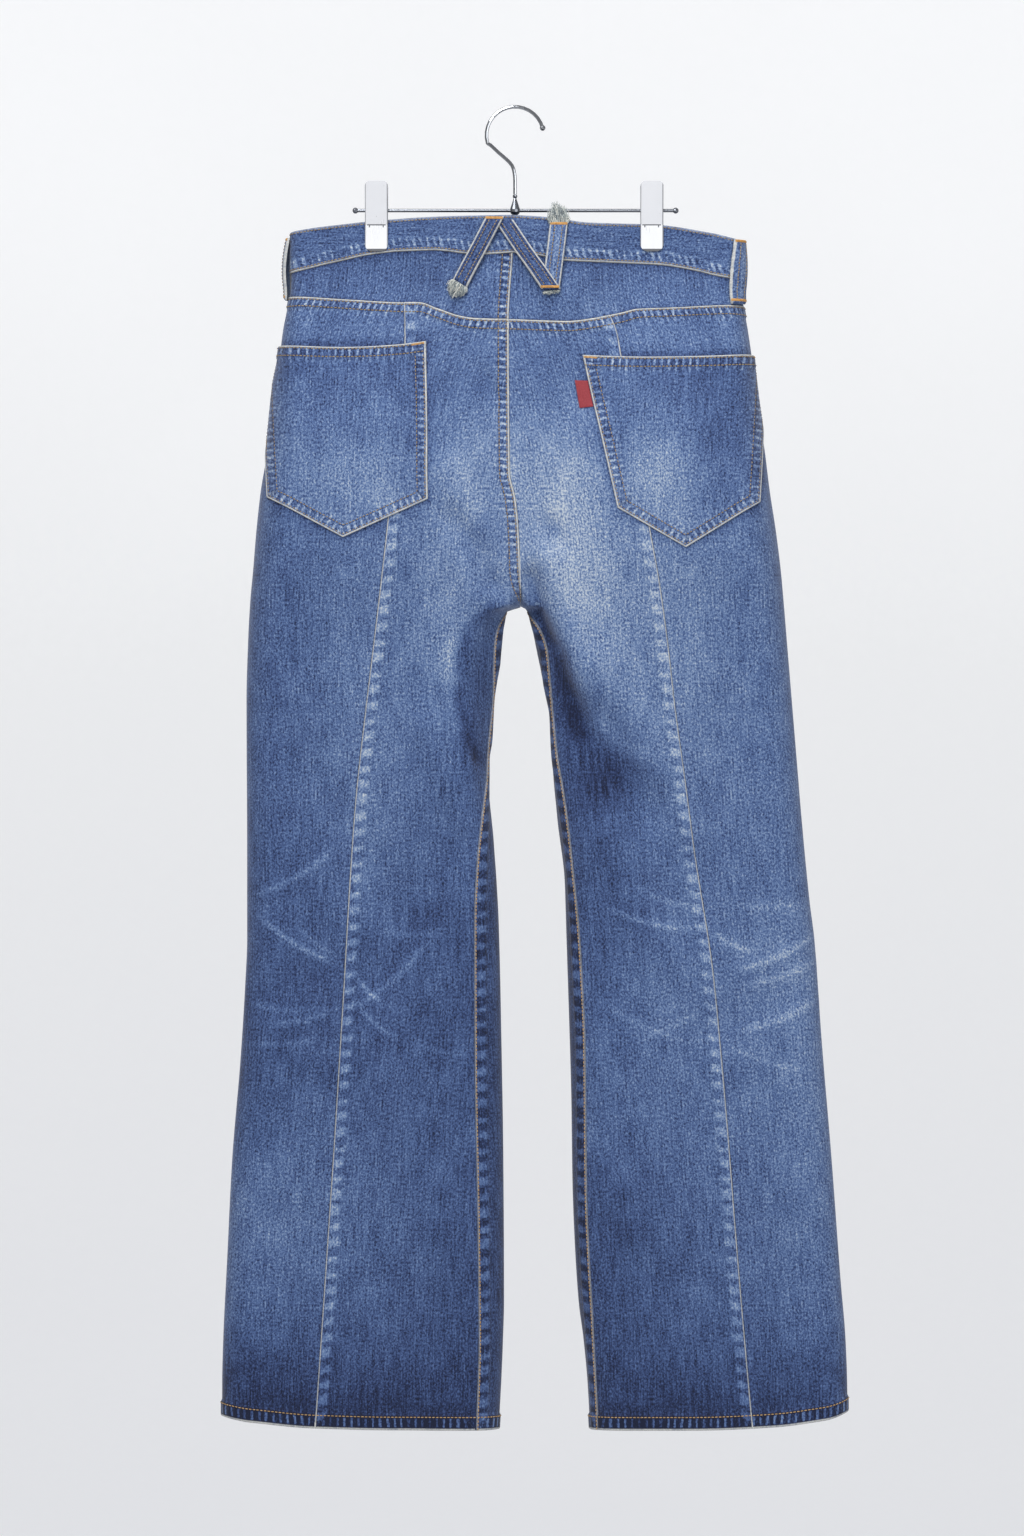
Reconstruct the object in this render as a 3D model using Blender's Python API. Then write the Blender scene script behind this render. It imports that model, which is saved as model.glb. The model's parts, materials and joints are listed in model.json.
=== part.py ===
"""Flared denim trousers hanging flat from a metal clip hanger, seen from behind.

The row frame has its origin at the inner top of the hanger's hook, +Z up and +X to the
right as seen from behind. The back of the trousers faces -Y and their front faces +Y.
Sizes in this file are millimetres, and a "drop" is a distance below the origin.
"Left" and "right" are as seen from behind, which is also the wearer's own left and right.
"""

import math

import bmesh
import bpy
import numpy as np
from mathutils import Matrix, Vector

MM = 0.001

# Cloth and seams
CLOTH = 1.3
BAND_CLOTH = 2.6
SEAM_GAP = 0.3
SEAM_RAISE = 0.9
SEAM_STRIP = 10.0
SEAM_STEP = 0.8
HEM_HEIGHT = 13.0
HEM_RAISE = 1.2
LAY_GAP = 0.5

# Heights, as drops below the hook's inner top
CROTCH_DROP = 448.0
CROTCH_X = 5.0
HIP_DROP = 245.0
FLAT_HEM_DROP = 1000.0

# Outline of each half from behind: the side fold, and the inner fold or centre seam
LEFT_OUTER = (
    # drop, x
    (90, -200.5), (160, -201), (182, -204.5), (200, -208), (219, -210.5), (255, -216.5),
    (309, -222), (345, -228),
    (381, -232), (417, -235), (444, -237.5), (480, -239.5), (534, -241), (678, -240.5),
    (750, -240.5), (786, -242), (858, -246.5), (948, -254), (1038, -258.5),
    (1110, -262), (1150, -263), (1200, -263),
)
RIGHT_OUTER = (
    (90, 202.5), (162, 203), (184, 206), (201, 209), (237, 214), (273, 218.5), (309, 224),
    (345, 228.5), (381, 234), (417, 238.5), (444, 241), (480, 244), (534, 248.5),
    (588, 253), (642, 257.5), (714, 264.5), (750, 269), (840, 275.5), (948, 284.5),
    (1056, 292.5), (1110, 297), (1150, 298.5), (1200, 299),
)
LEFT_INNER = (
    (448, 4.85), (450, -2), (452, -8), (456, -10), (480, -12.5), (498, -14.5), (516, -18),
    (534, -20.5), (570, -22.5), (588, -25), (606, -25), (660, -20.5), (732, -16),
    (840, -13.5), (948, -11.7), (1074, -11), (1110, -12), (1146, -13.5), (1200, -16.5),
)
RIGHT_INNER = (
    (448, 5.15), (450, 10), (452, 12.5), (456, 14), (480, 19), (502, 23.5), (519, 27),
    (534, 30.6), (547, 33), (584, 34.5), (642, 39.6), (696, 46), (750, 47.7), (894, 52),
    (966, 53), (1020, 55), (1074, 58.5), (1110, 63), (1146, 66.5), (1200, 69.5),
)
CENTRE_BACK = (
    (90, -2), (133, -2), (161, -4), (190, -5.5), (330, -4.5), (353, 0.5), (376, 3),
    (410, 4.5), (448, 5),
)
CENTRE_FRONT = ((90, 3), (200, 3), (448, 5))

# Seams on the back face
LEFT_INSEAM = (
    (448, 4.85), (450, -2), (452, -8), (456, -10.2), (462, -14), (470, -17.3), (480, -19.4),
    (496, -20.4), (528, -21.2),
    (580, -26), (602, -27), (629, -30), (660, -33.3), (690, -35.5), (729, -37),
    (858, -36.5), (1008, -34), (1105, -33), (1200, -36),
)
RIGHT_INSEAM = (
    (448, 5.15), (450, 10), (452, 12.5), (456, 14.2), (462, 18.5), (470, 23.5), (478, 27),
    (490, 30.5), (516, 33),
    (559, 37),
    (584, 39.6), (613, 44.5), (652, 50), (690, 54), (737, 58.5), (784, 61.5),
    (840, 64), (984, 65.7), (1045, 68.4), (1105, 72), (1200, 77),
)
LEFT_MID_SEAM = (
    (170, -100), (211, -99.5), (373, -114.5), (426, -120.5), (489, -128), (542, -134.5),
    (618, -143), (688, -148.5), (792, -154.5), (924, -162.5), (1008, -168),
    (1105, -174.5), (1200, -181),
)
RIGHT_MID_SEAM = (
    (180, 84), (202, 92), (220, 95), (384, 122), (426, 129.6), (486, 138), (536, 143.6),
    (605, 153), (668, 161.5), (764, 176.7), (811, 182), (929, 192.4), (1008, 198.5),
    (1081, 204.5), (1200, 215),
)
OUTSEAM_BEHIND = (
    # drop, how far round the front face the side seam lies
    (90, 7), (150, 9), (185, 16), (215, 25), (300, 27), (450, 25), (700, 22), (1200, 22),
)

# Section depths: the folds' mid plane, how far each face stands from it, and how widely
# each face rounds into its folds
SECTIONS = (
    # drop, mid_y, back, front, side_round, inner_round_back, inner_round_front
    (90, 0.0, 15, 12, 12, 8, 24),
    (135, 0.0, 17, 14, 13, 8, 24),
    (180, -0.5, 24, 18, 18, 8, 24),
    (250, -2.0, 33, 23, 25, 8, 24),
    (330, -3.0, 38, 26, 30, 8, 24),
    (400, -3.0, 37, 26, 30, 8, 24),
    (448, -2.0, 34, 25, 30, 8, 24),
    (500, -1.0, 31, 24, 30, 14, 25),
    (600, 0.0, 27, 22, 28, 22, 26),
    (750, 1.0, 23, 20, 26, 26, 26),
    (900, 1.0, 22, 20, 26, 28, 26),
    (1050, 0.0, 23, 22, 28, 28, 28),
    (1200, 0.0, 24, 23, 30, 30, 30),
)

# The overhang of the seat above the inner thigh: how far it stands in from the inner
# fold, and the share of the back face's depth that it takes
LEFT_LIP = (
    # drop, reach, share
    (90, 11, 0), (410, 11, 0), (448, 11, 0.5), (452, 15, 0.55), (458, 21, 0.6),
    (467, 28, 0.62), (480, 34, 0.62),
    (502, 38, 0.62), (525, 36, 0.6), (552, 30, 0.5), (576, 25, 0.4), (600, 20, 0.2),
    (640, 18, 0), (1200, 18, 0),
)
RIGHT_LIP = (
    (90, 11, 0), (410, 11, 0), (448, 11, 0.5), (452, 15, 0.55), (458, 20, 0.6),
    (467, 25, 0.62), (489, 31, 0.62),
    (525, 38, 0.6), (556, 46, 0.52), (592, 56, 0.34), (630, 64, 0.15), (680, 64, 0),
    (1200, 20, 0),
)
CROTCH_TURN_BACK = 34.0
CROTCH_TURN_FRONT = 60.0
CENTRE_BLEND = 12.0

# The hanger's clips pinch both faces together: a flat stretch under each, an easy rise
# on both sides of it, and a pinch that fades down the yoke
CLIP_X = (-125.0, 123.5)
PINCH_GAP = 0.4
PINCH_FLAT = 15.0
PINCHES = (
    # drop, rise width, strength
    (90, 44, 1.0), (134, 44, 1.0), (165, 46, 0.78), (200, 50, 0.42), (250, 56, 0.12),
    (290, 60, 0),
)

# Large folds: soft ridges (plus) and troughs (minus) between two points of a face
FOLDS = (
    # face, x1, drop1, x2, drop2, half_width, height
    ("back", -54, 372, -22, 428, 11, -7),
    ("back", -98, 172, -97, 232, 15, -3.5),
    ("back", -62, 330, -34, 438, 16, 4),
    ("back", -28, 238, -13, 262, 6, -2),
    ("back", -176, 250, -150, 420, 34, 3),
    ("back", -215, 560, -120, 700, 30, -3),
    ("back", -78, 560, -46, 640, 14, 4),
    ("back", -60, 655, -120, 770, 26, -4),
    ("back", -225, 800, -170, 770, 18, -2.5),
    ("back", -110, 880, -70, 1010, 30, 3),
    ("back", -205, 1010, -225, 1150, 26, -3),
    ("back", -75, 1080, -95, 1180, 22, -3),
    ("back", 15, 425, 27, 474, 8, -9),
    ("back", 30, 408, 70, 525, 15, 6.5),
    ("back", 34, 380, 38, 392, 10, -4),
    ("back", 64, 548, 118, 622, 26, -9),
    ("back", 75, 505, 150, 640, 18, 4.5),
    ("back", 150, 255, 170, 400, 30, 3.5),
    ("back", 62, 200, 58, 262, 20, -3.5),
    ("back", 190, 560, 160, 720, 32, -3),
    ("back", 80, 660, 130, 760, 24, 4),
    ("back", 235, 800, 180, 830, 20, -2.5),
    ("back", 95, 860, 110, 1010, 30, 3),
    ("back", 84, 1010, 112, 1050, 14, -3),
    ("back", 250, 1040, 262, 1160, 26, -3),
    ("front", -60, 330, -140, 300, 20, -4),
    ("front", -50, 372, -150, 372, 18, -4),
    ("front", -40, 470, -100, 520, 20, -5),
    ("front", -130, 620, -125, 900, 34, 4),
    ("front", -60, 700, -150, 760, 24, -3),
    ("front", -200, 960, -215, 1150, 26, -3),
    ("front", -80, 1030, -90, 1160, 26, -3),
    ("front", 66, 330, 142, 302, 20, -4),
    ("front", 54, 376, 150, 370, 18, -4),
    ("front", 46, 470, 110, 520, 20, -5),
    ("front", 160, 620, 175, 900, 34, 4),
    ("front", 90, 700, 190, 770, 24, -3),
    ("front", 250, 960, 262, 1150, 26, -3),
    ("front", 110, 1030, 125, 1160, 26, -3),
)

# Cross seams, as drops at shares of the way from the centre front (-1) round the side
# fold (0) to the centre back (1); a hem's -1 and 1 are both its inner fold
LEFT_LINES = {
    "waist_top": (
        (-1, 114), (-0.75, 108), (-0.45, 103), (0, 112), (0.15, 107.5), (0.38, 101.7),
        (0.6, 98.5), (0.85, 97.5), (1, 97),
    ),
    "waist_seam": (
        (-1, 151), (-0.75, 145), (-0.45, 140), (0, 149.5), (0.2, 140.5), (0.38, 132),
        (0.52, 129), (0.65, 128.6), (0.85, 133), (1, 131.5),
    ),
    "yoke_seam": (
        (-1, 190), (-0.5, 180), (0, 170.5), (0.3, 173), (0.53, 175.5), (0.61, 175.5),
        (0.7, 181.5), (0.8, 188.5), (0.86, 190.5), (1, 191.5),
    ),
    "hem": ((-1, 1191), (-0.5, 1190), (0, 1179), (0.14, 1184), (0.35, 1189),
            (0.7, 1191), (1, 1191)),
}
RIGHT_LINES = {
    "waist_top": (
        (-1, 114), (-0.75, 109), (-0.45, 105), (0, 120), (0.15, 113), (0.38, 105),
        (0.5, 104), (0.68, 103.5), (0.85, 99), (1, 97),
    ),
    "waist_seam": (
        (-1, 151), (-0.75, 146), (-0.45, 142), (0, 157), (0.12, 153), (0.25, 146),
        (0.38, 141.5), (0.55, 139.8), (0.78, 138.5), (0.92, 133), (1, 131.5),
    ),
    "yoke_seam": (
        (-1, 190), (-0.5, 184), (0, 179), (0.1, 178.5), (0.36, 180.5), (0.48, 181.5),
        (0.57, 186), (0.66, 190), (0.78, 193), (1, 191.5),
    ),
    "hem": ((-1, 1191), (-0.5, 1190), (0, 1175), (0.12, 1182), (0.3, 1188),
            (0.6, 1191), (1, 1191)),
}

# Nominal drops of the rows of points down a leg, from the hip to the flat part
LEG_LEVELS = (
    245, 280, 315, 350, 378, 402, 420, 431, 440, 448, 455, 464, 480,
    508, 542, 580, 618, 656, 700, 750, 805, 860, 915, 960, 1000,
)
LOWER_SHARES = (0.25, 0.5, 0.75)
BAND_SHARES = (0.0, 0.5, 1.0)
YOKE_SHARES = (0.0, 0.33, 0.66, 1.0)
YOKE_DROP = 181.0
HEM_DROP = 1189.0
NEAR_FOLD = 20.0
OUTER_COLUMNS = 5
INNER_COLUMNS = 4
SEAT_EDGE = 25.0
CROTCH_EXTRA = (
    # drop, how much longer the back's section is for turning under the crotch
    (412, 0), (432, 5), (438, 10), (443, 16), (446, 22), (448, 33), (450, 27), (453, 20),
    (458, 13), (466, 8), (480, 5), (522, 2), (582, 0),
)
FRONT_WEIGHTS = (0.7, 1.0, 1.2, 1.35, 1.35, 1.2, 1.0, 0.7, 0.5, 0.42)
SIDE_GUIDE = -0.1

# Back pockets: corners on the back face, and the bottom point
LEFT_POCKET = ((-227, 213), (-79.5, 211.5), (-78, 353.5), (-154.5, 388), (-221, 352))
LEFT_POCKET_SAG = 5.0
RIGHT_POCKET = ((60.5, 224), (225, 222), (218.5, 356.5), (153.5, 397), (92, 361.5))
RIGHT_POCKET_SAG = 3.0
LABEL_TAB = ((53.4, 247.0), (65.4, 247.4), (70.6, 270.8), (58.0, 272.2))
POCKET_HEM = 11.0
POCKET_LIFT = 0.6

# Front pocket mouths: how far along the waist seam and down the side they reach
SCOOP_WIDTH = 92.0
SCOOP_DEPTH = 82.0
FACING_COLUMNS = 5
FACING_SHALLOW = 0.35

# Fly
FLY_OVERLAP = 22.0
BUTTON_RADIUS = 8.5
BUTTON_HEIGHT = 3.2

# Belt loops and the label tab
LOOP_WIDTH = 14.6
LOOP_CLOTH = 2.2
LOOP_BOW = 2.2
LOOP_ROWS = 8
TAB_CLOTH = 1.0

# Hanger
WIRE_RADIUS = 1.7
HOOK_RADIUS = 25.8
HOOK_CENTRE_X = 0.0
HOOK_TIP_ANGLE = 15.0
HOOK_BACK_ANGLE = 196.0
HOOK_TAIL = ((-22.0, 33.0), (-14.5, 40.0), (-7.5, 46.0), (-2.6, 51.5), (-0.6, 58.0),
             (0.0, 65.0), (0.0, 77.0))
HOOK_BALL = 2.7
BAR_DROP = 92.0
BAR_RADIUS = 1.6
BAR_ENDS = (-144.0, 145.0)
BAR_BALL = 2.8
CLIP_WIDTH = 20.6
CLIP_TOP = 66.0
CLIP_BEND = 105.0
CLIP_BOTTOM = 129.0
CLIP_PLATE = 1.1
CLIP_LEAN = 0.17
CLIP_GRIP = PINCH_GAP + BAND_CLOTH + 0.45
SLEEVE_RADIUS = 4.9
SLEEVE_LENGTH = 14.0

# Frayed ends of the two broken loops
FRAY_STRANDS = (6, 3)
FRAY_STEPS = 2
FRAY_ROOT = 2.0
FRAY_SEED = 5

DENIM = (0.13, 0.21, 0.40)
STEEL = (0.80, 0.80, 0.82)
RED = (0.62, 0.05, 0.06)
COPPER = (0.55, 0.36, 0.20)
THREAD_GREY = (0.62, 0.66, 0.68)


# Curves through tables

def curve(rows, column=1):
    """A smooth function through a table's first column and another, with no overshoot."""
    knots = np.array([row[0] for row in rows], float)
    values = np.array([row[column] for row in rows], float)
    gaps = np.diff(knots)
    slopes = np.diff(values) / gaps
    tangents = np.empty(len(knots))
    tangents[0], tangents[-1] = slopes[0], slopes[-1]
    before, after = slopes[:-1], slopes[1:]
    total = np.where(before + after == 0, 1, before + after)
    tangents[1:-1] = np.where(before * after > 0, 2 * before * after / total, 0)

    def at(place):
        place = np.clip(np.asarray(place, float), knots[0], knots[-1])
        i = np.clip(np.searchsorted(knots, place) - 1, 0, len(gaps) - 1)
        t = (place - knots[i]) / gaps[i]
        rise = (
            tangents[i] * t * (1 - t) ** 2 - tangents[i + 1] * t * t * (1 - t)
        ) * gaps[i]
        return values[i] + (values[i + 1] - values[i]) * t * t * (3 - 2 * t) + rise

    return at


def smooth_step(value, low, high):
    t = np.clip((value - low) / (high - low), 0, 1)
    return t * t * (3 - 2 * t)


MID_Y, BACK_DEPTH, FRONT_DEPTH, SIDE_ROUND, INNER_ROUND_BACK, INNER_ROUND_FRONT = (
    curve(SECTIONS, column) for column in range(1, 7)
)
PINCH_WIDTH, PINCH_STRENGTH = curve(PINCHES, 1), curve(PINCHES, 2)
OUTSEAM, CROTCH_LENGTH = curve(OUTSEAM_BEHIND), curve(CROTCH_EXTRA)


def fold_height(face, x, drop):
    """The large folds' height at points of one face."""
    height = np.zeros(np.broadcast(x, drop).shape)
    for side, x1, drop1, x2, drop2, half_width, rise in FOLDS:
        if side != face:
            continue
        along = np.array((x2 - x1, drop2 - drop1), float)
        length = np.hypot(*along)
        along /= length
        forward = (x - x1) * along[0] + (drop - drop1) * along[1]
        across = (x - x1) * -along[1] + (drop - drop1) * along[0]
        beyond = np.maximum(0, np.maximum(-forward, forward - length))
        height = height + rise * np.exp(
            -((across / half_width) ** 2) - (beyond / (1.3 * half_width)) ** 2
        )
    return height


def rounded(distance, radius):
    """A quarter ellipse's height at a distance in from its end."""
    t = np.clip(distance / radius, 0, 1)
    return np.sqrt(np.clip(1 - (1 - t) ** 2, 0, 1))


class Half:
    """One side of the trousers' inner surface, as a table of drops and shares.

    A share is 0 at the side fold, 1 at the centre back or the inner fold reached over
    the back face, and -1 at the centre front or the inner fold over the front face.
    """

    STEP = 2.0
    FIRST, LAST = 86.0, 1206.0
    ACROSS = 121

    def __init__(self, side, outer, inner, inseam, mid_seam, lip, lines):
        self.side = side
        self.outer, self.inner = curve(outer), curve(inner)
        self.inseam_x, self.mid_x = curve(inseam), curve(mid_seam)
        self.lip_reach, self.lip_share = curve(lip, 1), curve(lip, 2)
        self.lines = {name: curve(rows) for name, rows in lines.items()}
        self.centre_back, self.centre_front = curve(CENTRE_BACK), curve(CENTRE_FRONT)
        self.drops = np.arange(self.FIRST, self.LAST + self.STEP, self.STEP)
        self.tables, self.lengths = {}, {}
        for face in ("back", "front"):
            self.tables[face], self.lengths[face] = self.face_table(face)

    def inner_x(self, face, drop):
        centre = self.centre_back if face == "back" else self.centre_front
        clear = self.side * SEAM_GAP / 2
        return np.where(drop < CROTCH_DROP, centre(drop) + clear, self.inner(drop))

    def face_table(self, face):
        """x and y at even shares of each section's face, and the faces' lengths."""
        drop = self.drops[:, None]
        turn = (1 - np.cos(np.linspace(0, math.pi, self.ACROSS)))[None, :] / 2
        outer, inner = self.outer(drop), self.inner_x(face, drop)
        x = outer + (inner - outer) * turn
        y = self.face_y(face, x, drop, outer, inner)
        steps = np.hypot(np.diff(x, axis=1), np.diff(y, axis=1))
        along = np.concatenate(
            [np.zeros((len(x), 1)), np.cumsum(steps, axis=1)], axis=1
        )
        even = np.linspace(0, 1, self.ACROSS)
        table = np.empty((len(x), self.ACROSS, 2))
        for i, reach in enumerate(along):
            table[i, :, 0] = np.interp(even * reach[-1], reach, x[i])
            table[i, :, 1] = np.interp(even * reach[-1], reach, y[i])
        return table, along[:, -1]

    def face_y(self, face, x, drop, outer, inner):
        """How far back a face lies at x, from its rounded ends, folds and pinches."""
        back = face == "back"
        depth = BACK_DEPTH(drop) if back else FRONT_DEPTH(drop)
        from_side, from_inner = np.abs(x - outer), np.abs(x - inner)
        turn = CROTCH_TURN_BACK if back else CROTCH_TURN_FRONT
        rounding = INNER_ROUND_BACK(drop) if back else INNER_ROUND_FRONT(drop)
        end = rounded(from_inner, rounding)
        if back:
            reach, share = self.lip_reach(drop), self.lip_share(drop)
            lip = smooth_step(from_inner, 0, reach)
            end = (1 - share) * end + share * lip
        closed = np.clip((drop - CROTCH_DROP + turn) / turn, 0, 1)
        open_share = np.sqrt(np.clip(1 - closed**2, 0, 1))
        end = open_share + (1 - open_share) * end
        height = rounded(from_side, SIDE_ROUND(drop)) * end
        folds = fold_height(face, x, drop) * smooth_step(height, 0.1, 0.9)
        beside = np.abs(x - (CLIP_X[0] if self.side < 0 else CLIP_X[1]))
        beside = np.maximum(0, beside - PINCH_FLAT) / PINCH_WIDTH(drop)
        pinch = np.exp(-(beside**2)) * PINCH_STRENGTH(drop)
        y = height * depth + folds
        y = np.where(pinch > 0, PINCH_GAP * pinch + y * (1 - pinch), y)
        mid = MID_Y(drop)
        return mid - y if back else mid + y

    def xy(self, drop, share):
        """x and y at a drop and a share, read between the table's points."""
        drop, share = np.broadcast_arrays(
            np.asarray(drop, float), np.asarray(share, float)
        )
        row = np.clip((drop - self.FIRST) / self.STEP, 0, len(self.drops) - 1.001)
        i = row.astype(int)
        part = (row - i)[..., None]
        found = np.zeros(drop.shape + (2,))
        for face, sign in (("back", 1), ("front", -1)):
            here = share >= 0 if sign > 0 else share < 0
            column = np.clip(share * sign, 0, 0.999999) * (self.ACROSS - 1)
            j = column.astype(int)
            across = (column - j)[..., None]
            table = self.tables[face]
            above = table[i, j] * (1 - across) + table[i, j + 1] * across
            below = table[i + 1, j] * (1 - across) + table[i + 1, j + 1] * across
            found = np.where(here[..., None], above * (1 - part) + below * part, found)
        return found

    def length(self, face, drop):
        return np.interp(drop, self.drops, self.lengths[face])

    def share_of_x(self, x, drop):
        """The back face's share where it has a given x."""
        row = int(np.clip(round((drop - self.FIRST) / self.STEP), 0, len(self.drops) - 1))
        found = self.tables["back"][row, :, 0]
        shares = np.linspace(0, 1, self.ACROSS)
        order = 1 if found[-1] > found[0] else -1
        return float(np.interp(x, found[::order], shares[::order]))

    def inseam_reach(self, drop):
        """The inseam's length in from the inner fold, over the back face."""
        back = self.length("back", drop)
        return back * (1 - self.share_of_x(float(self.inseam_x(drop)), drop))

    def wrapped(self, share, drop):
        """A share past an end of the front face, as one of the back face."""
        past = np.maximum(0, -1 - share) * self.length("front", drop)
        back = 1 - past / self.length("back", drop)
        return np.where(share < -1, back, share)

    def points(self, drop, share):
        """Points of the inner surface, and its outward normals, in millimetres."""
        share = self.wrapped(share, drop)
        step = 0.6
        nudge = 0.6 / 230
        here = self.place(drop, share)
        down = self.place(drop + step, share) - self.place(drop - step, share)
        low, high = share - nudge, share + nudge
        low = np.where(share >= 0, np.maximum(low, -0.02), np.maximum(low, -1))
        over = self.place(drop, np.minimum(high, 1)) - self.place(drop, low)
        normal = np.cross(over, down)
        normal *= self.side / np.linalg.norm(normal, axis=-1, keepdims=True)
        return here, self.centre_normal(drop, share, normal)

    def centre_normal(self, drop, share, normal):
        """Normals that meet the other half's cleanly at the centre and under the crotch."""
        drop, share = np.broadcast_arrays(drop, share)
        back = share >= 0
        turn = np.where(back, CROTCH_TURN_BACK, CROTCH_TURN_FRONT)
        depth = np.where(back, BACK_DEPTH(drop), FRONT_DEPTH(drop))
        under = np.clip((drop - CROTCH_DROP + turn) / turn, 0, 1)
        facing = np.where(back, -1.0, 1.0)
        ellipse = np.stack([
            0 * drop, facing * np.sqrt(1 - under**2) / depth, -under / turn
        ], axis=-1)
        level = normal * np.array((0.0, 1.0, 1.0))
        wanted = np.where((under > 0)[..., None], ellipse, level)
        wanted /= np.linalg.norm(wanted, axis=-1, keepdims=True) + 1e-9
        length = np.where(back, self.length("back", drop), self.length("front", drop))
        away = (1 - np.abs(share)) * length
        keep = np.clip(1 - away / CENTRE_BLEND, 0, 1) * (drop <= CROTCH_DROP)
        mixed = normal * (1 - keep[..., None]) + wanted * keep[..., None]
        return mixed / np.linalg.norm(mixed, axis=-1, keepdims=True)

    def place(self, drop, share):
        xy = self.xy(drop, share)
        drop = np.broadcast_to(drop, xy.shape[:-1])
        return np.stack([xy[..., 0], xy[..., 1], -drop], axis=-1)

    def level_drop(self, level, share):
        """The drop of a nominal level at a share: flat down the thigh, and bending
        towards the yoke seam above and the hem below."""
        share = np.where(share < -1, -1, share)
        yoke, hem = self.lines["yoke_seam"](share), self.lines["hem"](share)
        above = yoke + (HIP_DROP - yoke) * level
        below = FLAT_HEM_DROP + (hem - FLAT_HEM_DROP) * (level - 2)
        return np.where(level <= 1, above, below)


LEFT = Half(-1, LEFT_OUTER, LEFT_INNER, LEFT_INSEAM, LEFT_MID_SEAM, LEFT_LIP, LEFT_LINES)
RIGHT = Half(1, RIGHT_OUTER, RIGHT_INNER, RIGHT_INSEAM, RIGHT_MID_SEAM, RIGHT_LIP,
             RIGHT_LINES)


# Meshes

def material(name, colour, roughness, metallic=0.0):
    made = bpy.data.materials.get(name)
    if made is None:
        made = bpy.data.materials.new(name)
        made.use_nodes = True
        shader = made.node_tree.nodes["Principled BSDF"]
        shader.inputs["Base Color"].default_value = (*colour, 1)
        shader.inputs["Roughness"].default_value = roughness
        shader.inputs["Metallic"].default_value = metallic
    return made


def denim():
    return material("denim", DENIM, 0.9)


def steel():
    return material("steel", STEEL, 0.25, 1.0)


def new_object(name, data, look):
    made = bpy.data.objects.new(name, data)
    made.data.materials.append(look)
    bpy.context.scene.collection.objects.link(made)
    return made


def mesh_object(name, points, faces, look, smooth_angle=40):
    mesh = bpy.data.meshes.new(name)
    mesh.from_pydata([tuple(p * MM) for p in points], [], faces)
    mesh.validate()
    work = bmesh.new()
    work.from_mesh(mesh)
    bmesh.ops.remove_doubles(work, verts=work.verts, dist=1e-6)
    bmesh.ops.recalc_face_normals(work, faces=work.faces)
    work.to_mesh(mesh)
    work.free()
    mesh.shade_smooth()
    mesh.set_sharp_from_angle(angle=math.radians(smooth_angle))
    return new_object(name, mesh, look)


def wall(name, inner, outer, look):
    """A closed wall between two grids of points that match row by row."""
    rows, columns = inner.shape[:2]
    count = rows * columns
    points = np.concatenate([outer.reshape(-1, 3), inner.reshape(-1, 3)])
    faces = []
    for i in range(rows - 1):
        for j in range(columns - 1):
            a = i * columns + j
            b, c, d = a + 1, a + columns + 1, a + columns
            faces.append((a, b, c, d))
            faces.append((a + count, d + count, c + count, b + count))
    edge = [*range(columns)]
    edge += [i * columns + columns - 1 for i in range(1, rows)]
    edge += [(rows - 1) * columns + j for j in range(columns - 2, -1, -1)]
    edge += [i * columns for i in range(rows - 2, 0, -1)]
    for a, b in zip(edge, edge[1:] + edge[:1]):
        faces.append((b, a, a + count, b + count))
    return mesh_object(name, points, faces, look)


class Grid:
    """Rows of places on one half's surface, with how far its cloth stands from it."""

    def __init__(self, half, drops, shares, thick):
        self.half = half
        self.drops, self.shares = np.array(drops), np.array(shares)
        self.thick = np.broadcast_to(thick, self.drops.shape)
        self.base, self.normal = half.points(self.drops, self.shares)

    def lifted(self, lift):
        return self.base + self.normal * np.asarray(lift)[..., None]

    def solid(self, name, lift=0.0):
        lift = np.broadcast_to(lift, self.drops.shape)
        return wall(name, self.lifted(lift), self.lifted(lift + self.thick), denim())

    def part(self, rows, columns):
        made = object.__new__(Grid)
        made.half = self.half
        for name in ("drops", "shares", "thick", "base", "normal"):
            setattr(made, name, getattr(self, name)[rows, columns])
        return made

    def beside(self, other):
        """This grid with another's columns after its own."""
        made = object.__new__(Grid)
        made.half = self.half
        for name in ("drops", "shares", "thick", "base", "normal"):
            pair = [getattr(self, name), getattr(other, name)]
            setattr(made, name, np.concatenate(pair, axis=1))
        return made

    def spans(self):
        """x on the back face, going on by length past the side fold."""
        fold = self.half.outer(self.drops)
        past = np.minimum(self.shares, 0) * self.half.length("front", self.drops)
        return np.where(self.shares < 0, fold - self.half.side * past,
                        self.base[..., 0])


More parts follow.
